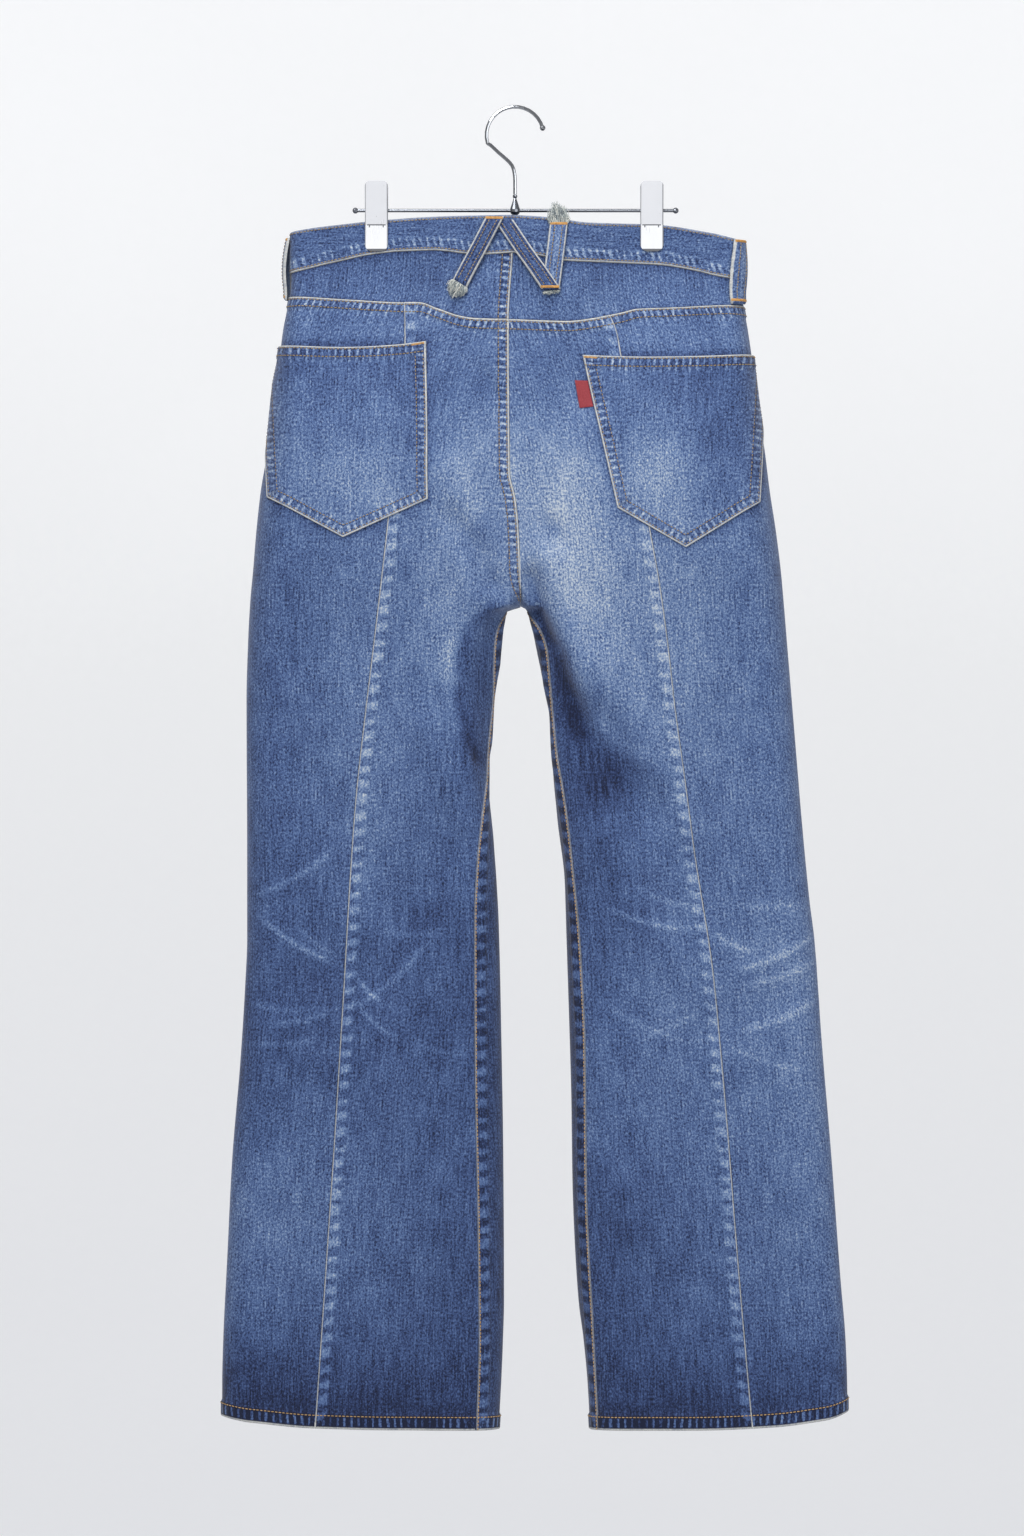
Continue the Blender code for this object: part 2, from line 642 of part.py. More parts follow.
def patch(name, grid, corners, sag, lift, thickness, hem, look):
    """A piece laid on a grid's cloth, cut from the grid's own faces.

    corners go round a convex outline as (x, drop), its first two being the ends of its
    upper edge, which dips by sag between them and is raised for a hem below it.
    """
    (x1, y1), (x2, y2) = corners[0], corners[1]
    span = grid.spans()
    f = np.clip((span - x1) / (x2 - x1), 0, 1)
    drop = grid.drops - sag * 4 * f * (1 - f)
    surface = grid.lifted(grid.thick)
    work = bmesh.new()
    place = work.verts.layers.float_vector.new("place")
    facing = work.verts.layers.float_vector.new("facing")
    rows, columns = span.shape
    made = []
    for i in range(rows):
        for j in range(columns):
            vert = work.verts.new((span[i, j], drop[i, j], 0))
            vert[place] = surface[i, j]
            vert[facing] = grid.normal[i, j]
            made.append(vert)
    for i in range(rows - 1):
        for j in range(columns - 1):
            a = i * columns + j
            quad = (a, a + 1, a + columns + 1, a + columns)
            work.faces.new([made[k] for k in quad])
    bmesh.ops.triangulate(work, faces=work.faces)
    centre = np.mean(np.array(corners), axis=0)
    for start, end in zip(corners, corners[1:] + corners[:1]):
        side = Vector((end[1] - start[1], start[0] - end[0], 0)).normalized()
        if side.dot(Vector((centre[0] - start[0], centre[1] - start[1], 0))) > 0:
            side.negate()
        cut(work, (*start, 0), side, True)
    top = Vector((y1 - y2, x2 - x1, 0)).normalized()
    if top.y < 0:
        top.negate()
    for depth in (hem, hem + SEAM_STEP) if hem else ():
        cut(work, Vector((x1, y1, 0)) + top * depth, top, False)
    bmesh.ops.remove_doubles(work, verts=work.verts, dist=0.05)
    bmesh.ops.triangulate(work, faces=work.faces)
    work.verts.index_update()
    inner, outer = [], []
    for vert in work.verts:
        normal = np.array(vert[facing])
        normal /= np.linalg.norm(normal)
        low = (vert.co - Vector((x1, y1, 0))).dot(top)
        rise = SEAM_RAISE if hem and low <= hem + 0.1 else 0.0
        inner.append(np.array(vert[place]) + normal * lift)
        outer.append(np.array(vert[place]) + normal * (lift + thickness + rise))
    count = len(inner)
    faces = []
    for face in work.faces:
        loop = [vert.index for vert in face.verts]
        faces.append(tuple(loop))
        faces.append(tuple(k + count for k in reversed(loop)))
    for edge in work.edges:
        if len(edge.link_faces) == 1:
            a, b = (vert.index for vert in edge.verts)
            faces.append((a, b, b + count, a + count))
    work.free()
    return mesh_object(name, inner + outer, faces, look)


def cut(work, place, normal, clear):
    geometry = [*work.verts, *work.edges, *work.faces]
    bmesh.ops.bisect_plane(work, geom=geometry, plane_co=place, plane_no=normal,
                           dist=1e-4, clear_outer=clear)


# Panels

def spread(start, end, weights):
    """Places from start to end, with gaps in proportion to the weights."""
    steps = np.concatenate([[0], np.cumsum(weights)]) / np.sum(weights)
    return start + (end - start) * steps


def with_strips(start, end, weights, at_start, at_end):
    """Places across a panel, with lines for the raised strips along its edges."""
    sign = 1 if end > start else -1
    strip, slope = sign * SEAM_STRIP, sign * (SEAM_STRIP + SEAM_STEP)
    first, head = (start + slope, [start, start + strip]) if at_start else (start, [])
    last, tail = (end - slope, [end - strip, end]) if at_end else (end, [])
    return np.array([*head, *spread(first, last, weights), *tail])


def outer_back_places(half, drop, side_drop):
    """Columns of the outer back panel, as lengths from the side fold."""
    start = -float(OUTSEAM(side_drop)) + SEAM_GAP / 2
    mid = half.length("back", drop) * half.share_of_x(float(half.mid_x(drop)), drop)
    near = spread(start, NEAR_FOLD, (1.0, 0.9, 0.75, 0.75, 1.1))
    return np.concatenate(
        [near[:-1], spread(NEAR_FOLD, mid - SEAM_GAP / 2, (1,) * OUTER_COLUMNS)]
    )


def inner_back_places(half, drop, inner_drop):
    """Columns of the inner back panel, as lengths from the side fold."""
    back = half.length("back", drop)
    mid = back * half.share_of_x(float(half.mid_x(drop)), drop)
    end = back
    if drop >= CROTCH_DROP:
        end = back - half.inseam_reach(inner_drop) - SEAM_GAP / 2
    start = mid + SEAM_GAP / 2
    head = [start, start + SEAM_STRIP, start + SEAM_STRIP + SEAM_STEP]
    last, tail = end, []
    if half is LEFT:
        last, tail = end - SEAM_STRIP - SEAM_STEP, [end - SEAM_STRIP, end]
    crest = end - SEAT_EDGE - float(CROTCH_LENGTH(drop))
    return np.array([*head, *spread(head[-1], crest, (1,) * INNER_COLUMNS)[1:],
                     (crest + last) / 2, last, *tail])


def front_places(half, drop, depth, inner_drop):
    """Columns of a front panel, as lengths from the side fold, minus over the front."""
    start = -scoop_edge(drop, depth) - SEAM_GAP / 2
    end = -half.length("front", drop)
    if drop >= CROTCH_DROP:
        end -= half.inseam_reach(inner_drop) - SEAM_GAP / 2
    return with_strips(start, end, FRONT_WEIGHTS, True, True)


def facing_places(drop, depth):
    start = -float(OUTSEAM(drop)) - SEAM_GAP / 2
    end = min(-scoop_edge(drop, depth) + SEAM_GAP / 2, start - 2)
    return spread(start, end, (1,) * FACING_COLUMNS)


def shares_of(half, places, drop, side_drop=None):
    """Lengths from the side fold, + over the back, as shares."""
    front = half.length("front", drop if side_drop is None else side_drop)
    return places / np.where(places < 0, front, half.length("back", drop))


def scoop_edge(drop, depth):
    """How far the front pocket's mouth stands in from the side fold."""
    t = min(1.0, max(0.0, depth / SCOOP_DEPTH))
    seam = float(OUTSEAM(drop))
    return seam + (SCOOP_WIDTH - seam) * math.sqrt(max(0.0, 1 - t * t))


def leg_levels():
    """A nominal level and the raise of each row, from the yoke seam to the hem."""
    span = HIP_DROP - YOKE_DROP
    rows = [(SEAM_GAP / 2 / span, 0.0), (SEAM_STRIP / span, 0.0),
            ((SEAM_STRIP + SEAM_STEP) / span, 0.0), (0.55, 0.0)]
    rows += [(drop, 0.0) for drop in LEG_LEVELS]
    span = HEM_DROP - FLAT_HEM_DROP
    hem = 1 - HEM_HEIGHT / span
    rows += [(2 + share, 0.0) for share in LOWER_SHARES]
    return rows + [(2 + hem - SEAM_STEP / span, 0.0), (2 + hem, HEM_RAISE),
                   (3, HEM_RAISE)]


def level_to_drop(half, level, share):
    """The drop of one row. Levels over 3 are plain drops."""
    share = np.maximum(share, -1)
    if level > 3:
        return np.full(np.shape(share), float(level))
    return half.level_drop(level, share)


def back_panel(half, places, strip_at_start, strip_at_end, pocket):
    """A back leg panel from the yoke seam to the hem, between two of its seams."""
    drops, shares, thick = [], [], []
    for k, (level, rise) in enumerate(leg_levels()):
        drop = float(level_to_drop(half, level, 0.5))
        side_drop = float(level_to_drop(half, level, SIDE_GUIDE))
        edge_drop = side_drop
        if places is inner_back_places:
            edge_drop = float(level_to_drop(half, level, 1.0))
        across = places(half, drop, edge_drop)
        height = np.zeros(len(across))
        if k < 2:
            height[:] = SEAM_RAISE
        if strip_at_start and not pocket[0] < drop < pocket[1]:
            height[:2] = SEAM_RAISE
        if strip_at_end and drop <= CROTCH_DROP:
            height[-2:] = SEAM_RAISE
        share = shares_of(half, across, drop, side_drop)
        drops.append(level_to_drop(half, level, share))
        shares.append(share)
        thick.append(CLOTH + np.maximum(height, rise))
    return Grid(half, drops, shares, thick)


def front_rows(half):
    """Rows of a front: kind, level, raise, and depth below the waist seam."""
    near = SIDE_GUIDE
    seam = float(half.lines["waist_seam"](near))
    yoke = float(half.lines["yoke_seam"](near))
    rows = [("yoke", share, 0.0, share * (yoke - seam)) for share in YOKE_SHARES[:-1]]
    for level, rise in leg_levels():
        depth = float(level_to_drop(half, level, near)) - seam
        rows.append(("leg", level, rise, depth))
    for part in (0.9, 0.98, 1.0):
        depth = SCOOP_DEPTH * part
        level = (seam + depth - yoke) / (HIP_DROP - yoke)
        rows.append(("leg", level, 0.0, depth))
    rows.sort(key=lambda row: row[3])
    kept = [rows[0]]
    for row in rows[1:]:
        if row[3] - kept[-1][3] > 1.2 or row[1] in (2 + 0, 3) or row[2]:
            kept.append(row)
    return kept


def front_drop(half, row, share):
    kind, level = row[0], row[1]
    share = np.clip(share, -1, 1)
    if kind == "leg":
        return level_to_drop(half, level, share)
    seam, yoke = half.lines["waist_seam"](share), half.lines["yoke_seam"](share)
    return seam + (yoke - seam) * level + (SEAM_GAP / 2 if level == 0 else 0)


def front_panel(half):
    """A front from the waist seam to the hem, round to the inseam on the back face."""
    drops, shares, thick = [], [], []
    for row in front_rows(half):
        drop = float(front_drop(half, row, SIDE_GUIDE))
        across = front_places(half, drop, row[3], float(front_drop(half, row, -1.0)))
        height = np.zeros(len(across))
        if row[3] < SCOOP_DEPTH:
            height[:2] = SEAM_RAISE
        if drop > CROTCH_DROP or half is LEFT:
            height[-2:] = SEAM_RAISE
        share = across / half.length("front", drop)
        drops.append(front_drop(half, row, share))
        shares.append(share)
        thick.append(CLOTH + np.maximum(height, row[2]))
    return Grid(half, drops, shares, thick)


def pocket_facing(half):
    """The corner that shows in a front pocket's mouth, a little below the panel."""
    drops, shares = [], []
    for row in front_rows(half):
        if row[3] > SCOOP_DEPTH * 0.985:
            break
        drop = float(front_drop(half, row, SIDE_GUIDE))
        share = facing_places(drop, row[3]) / half.length("front", drop)
        drops.append(front_drop(half, row, share))
        shares.append(share)
    return Grid(half, drops, shares, CLOTH - FACING_SHALLOW)


def upper_back_shares(half, level):
    """Columns of the yoke, in line with the panels below, at a share of its height."""
    top, bottom = half.lines["waist_seam"], half.lines["yoke_seam"]
    drop, side_drop = (
        float(top(share) + (bottom(share) - top(share)) * level)
        for share in (0.5, SIDE_GUIDE)
    )
    outer = outer_back_places(half, drop, side_drop)
    inner = inner_back_places(half, drop, drop)
    middle = (outer[-1] + inner[0]) / 2
    places = np.array([*outer[:-1], middle, *inner[1:]])
    return shares_of(half, places, drop, side_drop)


def yoke_panel(half):
    """A back yoke between the waist seam and the yoke seam."""
    drops, shares, thick = [], [], []
    top, bottom = half.lines["waist_seam"], half.lines["yoke_seam"]
    for level in YOKE_SHARES:
        share = upper_back_shares(half, level)
        height = np.zeros(len(share))
        if half is LEFT:
            height[-2:] = SEAM_RAISE
        gap = {0.0: SEAM_GAP / 2, 1.0: -SEAM_GAP / 2}.get(level, 0.0)
        drops.append(top(share) + (bottom(share) - top(share)) * level + gap)
        shares.append(share)
        thick.append(CLOTH + height)
    return Grid(half, drops, shares, thick)


def band_grid(half, shares):
    """A stretch of waistband over given shares."""
    top, bottom = half.lines["waist_top"], half.lines["waist_seam"]
    level = np.array(BAND_SHARES)[:, None]
    drop = top(shares) + (bottom(shares) - SEAM_GAP / 2 - top(shares)) * level
    return Grid(half, drop, np.broadcast_to(shares, drop.shape), BAND_CLOTH)


def waistband():
    """The whole waistband, from its buttoned end round the back to its other end."""
    grids = []
    for half in (LEFT, RIGHT):
        row = front_rows(half)[0]
        drop = float(front_drop(half, row, SIDE_GUIDE))
        front = np.concatenate([
            facing_places(drop, 0.0)[1:-1], front_places(half, drop, 0.0, drop)
        ]) / half.length("front", drop)
        back = upper_back_shares(half, 0.0)
        grids.append(band_grid(half, np.concatenate([front[::-1], back])))
    left, right = grids
    reach = np.array([-FLY_OVERLAP, -9.0, -0.6])
    lap = band_grid(RIGHT, -1 - reach / RIGHT.length("front", 120.0))
    clear = BAND_CLOTH + LAY_GAP
    inner = [lap.lifted(np.full(lap.drops.shape, clear)), left.base[:, 1:]]
    outer = [lap.lifted(clear + lap.thick), left.lifted(left.thick)[:, 1:]]
    inner.append(right.base[:, -2::-1])
    outer.append(right.lifted(right.thick)[:, -2::-1])
    return wall("waistband", np.concatenate(inner, axis=1),
                np.concatenate(outer, axis=1), denim())


# Pieces on the panels

def on_surface(half, x, drop):
    """A base point at x, which past the side fold goes on round the front face."""
    fold = float(half.outer(drop))
    inside = half.side * (fold - x)
    if inside >= 2.0:
        share = half.share_of_x(x, drop)
    else:
        share = (half.share_of_x(fold - half.side * 2.0, drop)
                 - (2.0 - inside) / half.length("back", drop))
        if share < 0:
            share *= half.length("back", drop) / half.length("front", drop)
    base, normal = half.points(np.array([drop]), np.array([share]))
    return base[0], normal[0]


def belt_loop(name, upper, lower, width, lift_top=0.0, lift_low=0.0, level_low=True):
    """A loop sewn at its two ends, bowed off the cloth between them.

    upper and lower are (x, drop) of its centre line. The lifts carry an end over the
    loop that it crosses. The top end is cut level, and the low end where level_low says.
    """
    start, end = np.array(upper, float), np.array(lower, float)
    along = (end - start) / np.linalg.norm(end - start)
    across = np.array((-along[1], along[0]))
    slope = along * across[1] / along[1]
    inner, outer = [], []
    for t in np.linspace(0, 1, LOOP_ROWS):
        line_in, line_out = [], []
        clear = BAND_CLOTH + LAY_GAP + LOOP_BOW * math.sin(math.pi * t)
        clear += lift_top * (1 - smooth_step(t, 0.12, 0.45))
        clear += lift_low * smooth_step(t, 0.35, 0.66)
        for side in (-0.5, 0.0, 0.5):
            skew = across - slope * (1 if level_low else 1 - t)
            x, drop = start + (end - start) * t + skew * side * width
            half = LEFT if x < CENTRE_X(drop) else RIGHT
            base, normal = on_surface(half, x, drop)
            line_in.append(base + normal * clear)
            line_out.append(base + normal * (clear + LOOP_CLOTH))
        inner.append(line_in)
        outer.append(line_out)
    return wall(name, np.array(inner), np.array(outer), denim())


CENTRE_X = curve(CENTRE_BACK)


def upright_loop(name, half, top_place, low_place, drops, bow):
    """A loop along a section's length, at places measured from the side fold."""
    t = np.linspace(0, 1, LOOP_ROWS)[:, None]
    places = top_place + (low_place - top_place) * t
    places = places + LOOP_WIDTH * np.array((-0.5, -0.17, 0.17, 0.5))
    shares = shares_of(half, places, 130.0) + 0 * t
    drop = drops[0] + (drops[1] - drops[0]) * t + 0 * shares
    clear = BAND_CLOTH + LAY_GAP + 0.4 + bow * np.sin(math.pi * t) + 0 * shares
    return Grid(half, drop, shares, LOOP_CLOTH).solid(name, clear)


# Hard pieces

def lathe(name, profile, look, segments=20):
    """A turned solid from (radius, height) rows, top to bottom, about local Z."""
    points, faces = [], []
    for radius, height in profile:
        for k in range(segments):
            turn = 2 * math.pi * k / segments
            points.append(np.array((radius * math.cos(turn), radius * math.sin(turn),
                                    height)))
    for i in range(len(profile) - 1):
        for k in range(segments):
            a, b = i * segments + k, i * segments + (k + 1) % segments
            faces.append((a, a + segments, b + segments, b))
    faces.append(tuple(range(segments)))
    last = (len(profile) - 1) * segments
    faces.append(tuple(range(last + segments - 1, last - 1, -1)))
    return mesh_object(name, points, faces, look, 35)


def tube_path(name, path, radius, look, resolution=3):
    """A round wire along points, as a curve with filled caps."""
    data = bpy.data.curves.new(name, "CURVE")
    data.dimensions = "3D"
    data.bevel_depth = radius * MM
    data.bevel_resolution = resolution
    data.use_fill_caps = True
    spline = data.splines.new("POLY")
    spline.points.add(len(path) - 1)
    for point, place in zip(spline.points, path):
        point.co = (*(Vector(place) * MM), 1)
    return new_object(name, data, look)


def as_mesh(made):
    """The same object with its curve turned into a mesh."""
    mesh = bpy.data.meshes.new_from_object(made)
    name, look = made.name, made.data.materials[0]
    curve_data = made.data
    bpy.data.objects.remove(made)
    bpy.data.curves.remove(curve_data)
    mesh.name = name
    fresh = bpy.data.objects.new(name, mesh)
    if not mesh.materials:
        mesh.materials.append(look)
    bpy.context.scene.collection.objects.link(fresh)
    return fresh


def ball(name, radius, place, look):
    mesh = bpy.data.meshes.new(name)
    work = bmesh.new()
    bmesh.ops.create_uvsphere(work, u_segments=10, v_segments=6, radius=radius * MM)
    work.to_mesh(mesh)
    work.free()
    mesh.shade_smooth()
    made = new_object(name, mesh, look)
    made.location = Vector(place) * MM
    return made


def join_by_union(target, others):
    """Joins pieces that overlap the target into it, and hides them."""
    for other in others:
        union = target.modifiers.new("join_" + other.name, "BOOLEAN")
        union.operation = "UNION"
        union.object = other
        other.hide_render = True
        other.display_type = "WIRE"


def hook_path():
    """The hook's centre line: an arc over the rail, then an easy bend to the stem."""
    centre_drop = HOOK_RADIUS - WIRE_RADIUS
    path = []
    steps = 16
    for k in range(steps + 1):
        turn = math.radians(
            HOOK_TIP_ANGLE + (HOOK_BACK_ANGLE - HOOK_TIP_ANGLE) * k / steps
        )
        path.append((HOOK_CENTRE_X + HOOK_RADIUS * math.cos(turn), 0.0,
                     -centre_drop + HOOK_RADIUS * math.sin(turn)))
    tail = [path[-1]] + [(x, 0.0, -drop) for x, drop in HOOK_TAIL]
    guide = [path[-2]] + tail + [(0.0, 0.0, -2 * HOOK_TAIL[-1][1] + HOOK_TAIL[-2][1])]
    for k in range(1, len(guide) - 2):
        a, b, c, d = (np.array(p) for p in guide[k - 1:k + 3])
        for t in (0.5, 1.0):
            path.append(tuple(0.5 * (
                2 * b + (c - a) * t + (2 * a - 5 * b + 4 * c - d) * t * t
                + (3 * b - a - 3 * c + d) * t ** 3
            )))
    return path


def hanger():
    """The hook with its ball tip, the knuckle that holds it, and the bar."""
    path = hook_path()
    hook = as_mesh(tube_path("hanger_hook", path, WIRE_RADIUS, steel()))
    join_by_union(hook, [ball("hook_ball", HOOK_BALL, path[0], steel())])
    top = -(HOOK_TAIL[-1][1] + SEAM_GAP)
    bar = as_mesh(tube_path(
        "hanger_bar",
        [(BAR_ENDS[0], 0, -BAR_DROP), (0, 0, -BAR_DROP), (BAR_ENDS[1], 0, -BAR_DROP)],
        BAR_RADIUS, steel(),
    ))
    knuckle = lathe("bar_knuckle", (
        (1.3, top), (2.1, top - 1.2), (2.1, top - 2.2), (1.3, top - 3.6),
        (2.2, top - 6.5), (3.6, top - 10.5), (4.6, top - 13.5), (4.6, top - 16.0),
        (3.6, top - 17.8), (2.2, top - 18.8),
    ), steel(), 12)
    ends = [ball(f"bar_ball_{k}", BAR_BALL, (x, 0, -BAR_DROP), steel())
            for k, x in enumerate(BAR_ENDS)]
    join_by_union(bar, [knuckle, *ends])


def clip_plate(name, x, side):
    """A clip's bent plate: a flat jaw on the cloth and a lever leaning off it.

    side is -1 for the near plate and 1 for the far one.
    """
    outline = []
    half_width, corner = CLIP_WIDTH / 2, 5.0
    drops = [CLIP_TOP, CLIP_TOP + 1.2, CLIP_TOP + 3.5, CLIP_BEND - 1.5, CLIP_BEND,
             CLIP_BOTTOM - corner, CLIP_BOTTOM - 1.8, CLIP_BOTTOM]
    widths = [0.72, 0.9, 1.0, 1.0, 1.0, 1.0, 0.84, 0.5]
    for drop, width in zip(drops, widths):
        lean = max(0.0, CLIP_BEND - drop) * CLIP_LEAN
        row = [(x + half_width * width * k, side * (CLIP_GRIP + lean), -drop)
               for k in (-1, -0.5, 0.5, 1)]
        outline.append(row)
    near = np.array(outline)
    far = near + np.array((0, side * CLIP_PLATE, 0))
    if side < 0:
        return wall(name, near, far, steel())
    return wall(name, near[:, ::-1], far[:, ::-1], steel())


def clip_sleeve(name, x):
    """The pivot between a clip's plates, a tube that rides on the bar."""
    bore, rim, half = BAR_RADIUS + SEAM_GAP, SLEEVE_RADIUS, SLEEVE_LENGTH / 2
    profile = ((bore, -half), (rim - 0.4, -half), (rim, 0.4 - half), (rim, half - 0.4),
               (rim - 0.4, half), (bore, half))
    segments = 14
    points, faces = [], []
    for radius, along in profile:
        for k in range(segments):
            turn = 2 * math.pi * (k + 0.5) / segments
            points.append(np.array((x + along, radius * math.cos(turn),
                                    radius * math.sin(turn) - BAR_DROP)))
    for i in range(len(profile)):
        j = (i + 1) % len(profile)
        for k in range(segments):
            m = (k + 1) % segments
            faces.append((i * segments + k, j * segments + k,
                          j * segments + m, i * segments + m))
    mesh_object(name, points, faces, steel(), 35)


def waist_button():
    """The round shank button on the overlapping end of the waistband."""
    share = -1 + 6.0 / RIGHT.length("front", 130)
    drop = float(RIGHT.lines["waist_top"](share) + 18)
    base, normal = RIGHT.points(np.array([drop]), np.array([share]))
    lift = 2 * BAND_CLOTH + LAY_GAP + SEAM_GAP + 0.1
    made = lathe("button", (
        (BUTTON_RADIUS * 0.8, BUTTON_HEIGHT), (BUTTON_RADIUS * 0.95, BUTTON_HEIGHT - 0.5),
        (BUTTON_RADIUS, BUTTON_HEIGHT - 1.3), (BUTTON_RADIUS * 0.9, 1.0),
        (BUTTON_RADIUS * 0.45, 0.9), (BUTTON_RADIUS * 0.42, 0.0),
    ), material("button_metal", COPPER, 0.35, 1.0), 14)
    made.location = Vector(base[0] + normal[0] * lift) * MM
    made.rotation_mode = "QUATERNION"
    made.rotation_quaternion = Vector(normal[0]).to_track_quat("Z", "Y")


def fray(name, half, root, tip, width, length, fan_out, rise):
    """A tuft of loose threads rooted in a narrow strip of cloth at a loop's raw end.

    root and tip are (x, drop) of the strip's middle and of a point it runs towards. The
    strip's end face is divided into cells, and each cell is drawn out as one strand,
    fanning away from its neighbours.
    """
    chance = np.random.default_rng(FRAY_SEED)
    base, normal = on_surface(half, *root)
    place = Vector(base + normal * (BAND_CLOTH + LAY_GAP))
    out = Vector(normal)
    along = Vector((tip[0] - root[0], 0, root[1] - tip[1])).normalized()
    along = (along - out * along.dot(out)).normalized()
    over = along.cross(out).normalized()
    across, deep = FRAY_STRANDS
    cell, depth = width / across, LOOP_CLOTH / deep
    work = bmesh.new()
    grid = {}
    for level in (0, 1):
        for i in range(across + 1):
            for j in range(deep + 1):
                point = (place + over * (cell * i - width / 2) + out * (depth * j)
                         + along * (SEAM_GAP + FRAY_ROOT * level))
                if level == 1 or i in (0, across) or j in (0, deep):
                    grid[level, i, j] = work.verts.new(point * MM)
    cells = []
    for i in range(across):
        for j in range(deep):
            corners = ((i, j), (i + 1, j), (i + 1, j + 1), (i, j + 1))
            cells.append((work.faces.new([grid[1, a, b] for a, b in corners]), i, j))
    ring = [(i, 0) for i in range(across + 1)]
    ring += [(across, j) for j in range(1, deep + 1)]
    ring += [(i, deep) for i in range(across - 1, -1, -1)]
    ring += [(0, j) for j in range(deep - 1, 0, -1)]
    for (a, b), (c, d) in zip(ring, ring[1:] + ring[:1]):
        work.faces.new([grid[0, a, b], grid[0, c, d], grid[1, c, d], grid[1, a, b]])
    work.faces.new([grid[0, a, b] for a, b in reversed(ring)])
    for face, i, j in cells:
        fan = (i + 0.5) / across - 0.5
        lean = (j + 0.5) / deep
        step = length * (0.72 + 0.28 * chance.random()) / FRAY_STEPS
        bmesh.ops.inset_individual(work, faces=[face], thickness=0.16 * MM)
        tip_face = face
        for k in range(FRAY_STEPS):
            path = (along + over * fan_out * fan * (1 + 0.35 * k)
                    + out * (rise + 0.4 * lean)) * step
            made = bmesh.ops.extrude_discrete_faces(work, faces=[tip_face])
            tip_face = made["faces"][0]
            bmesh.ops.translate(work, verts=tip_face.verts, vec=path * MM)
            centre = tip_face.calc_center_median()
            bmesh.ops.scale(work, verts=tip_face.verts, vec=(0.8, 0.8, 0.8),
                            space=Matrix.Translation(-centre))
    bmesh.ops.recalc_face_normals(work, faces=work.faces)
    mesh = bpy.data.meshes.new(name)
    work.to_mesh(mesh)
    work.free()
    return new_object(name, mesh, material("loose_thread", THREAD_GREY, 0.95))


# Assembly

def clear_scene():
    for made in list(bpy.data.objects):
        bpy.data.objects.remove(made)


def build_cloth():
    for half, word, corners, sag in (
        (LEFT, "left", LEFT_POCKET, LEFT_POCKET_SAG),
        (RIGHT, "right", RIGHT_POCKET, RIGHT_POCKET_SAG),
    ):
        tip = max(corner[1] for corner in corners)
        hidden = (min(corner[1] for corner in corners) - 14, tip - 4)
        outer = back_panel(half, outer_back_places, False, False, hidden)
        inner = back_panel(half, inner_back_places, True, half is LEFT, hidden)
        outer.solid(f"back_{word}_outer")
        inner.solid(f"back_{word}_inner")
        whole = outer.part(slice(None), slice(0, -1)).beside(inner)
        seat = whole.part(slice(0, 14), slice(None))
        patch(f"pocket_back_{word}", seat, list(corners), sag, POCKET_LIFT, CLOTH,
              POCKET_HEM, denim())
        if half is RIGHT:
            patch("label_tab", seat, list(LABEL_TAB), 0.0, LAY_GAP, TAB_CLOTH, 0.0,
                  material("tab_red", RED, 0.8))
        yoke_panel(half).solid(f"yoke_{word}")
        front_panel(half).solid(f"front_{word}")
        pocket_facing(half).solid(f"pocket_facing_{word}")
    waistband()


def build_loops():
    over = LOOP_CLOTH + LAY_GAP
    belt_loop("loop_back_slant_left", (-17.8, 98.8), (-49, 160), LOOP_WIDTH,
              lift_top=over, level_low=False)
    belt_loop("loop_back_slant_right", (-10.4, 101.5), (31.8, 165.4), LOOP_WIDTH,
              lift_low=over)
    belt_loop("loop_back_upright", (39.2, 103.6), (31.8, 164.4), LOOP_WIDTH + 1.4)
    upright_loop("loop_side_left", LEFT, -2.0, -2.0, (117, 174), 3.4)
    upright_loop("loop_side_right", RIGHT, 10.0, 15.5, (119, 178), LOOP_BOW)
    upright_loop("loop_front_left", LEFT, -128.0, -128.0, (107, 158), LOOP_BOW)
    upright_loop("loop_front_right", RIGHT, -128.0, -128.0, (108, 159), LOOP_BOW)


def main():
    clear_scene()
    build_cloth()
    build_loops()
    hanger()
    for word, x in zip(("left", "right"), CLIP_X):
        clip_plate(f"clip_{word}_near", x, -1)
        clip_plate(f"clip_{word}_far", x, 1)
        clip_sleeve(f"clip_{word}_sleeve", x)
    waist_button()
    fray("fray_slant", LEFT, (-49.3, 160.6), (-56, 172), 12.0, 12.0, 1.1, 0.06)
    fray("fray_upright", RIGHT, (39.3, 103.0), (40, 80), 14.0, 20.0, 0.7, -0.25)


main()
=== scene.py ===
"""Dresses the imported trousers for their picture: cloth, stitches, metal and light.

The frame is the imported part's: its origin is the inner top of the hanger's hook, +Z is
up and the back of the trousers faces -Y. Sizes are millimetres until a mesh is made, and
a "drop" is a distance below the origin. Left and right are as seen from behind.
"""

import json
import math

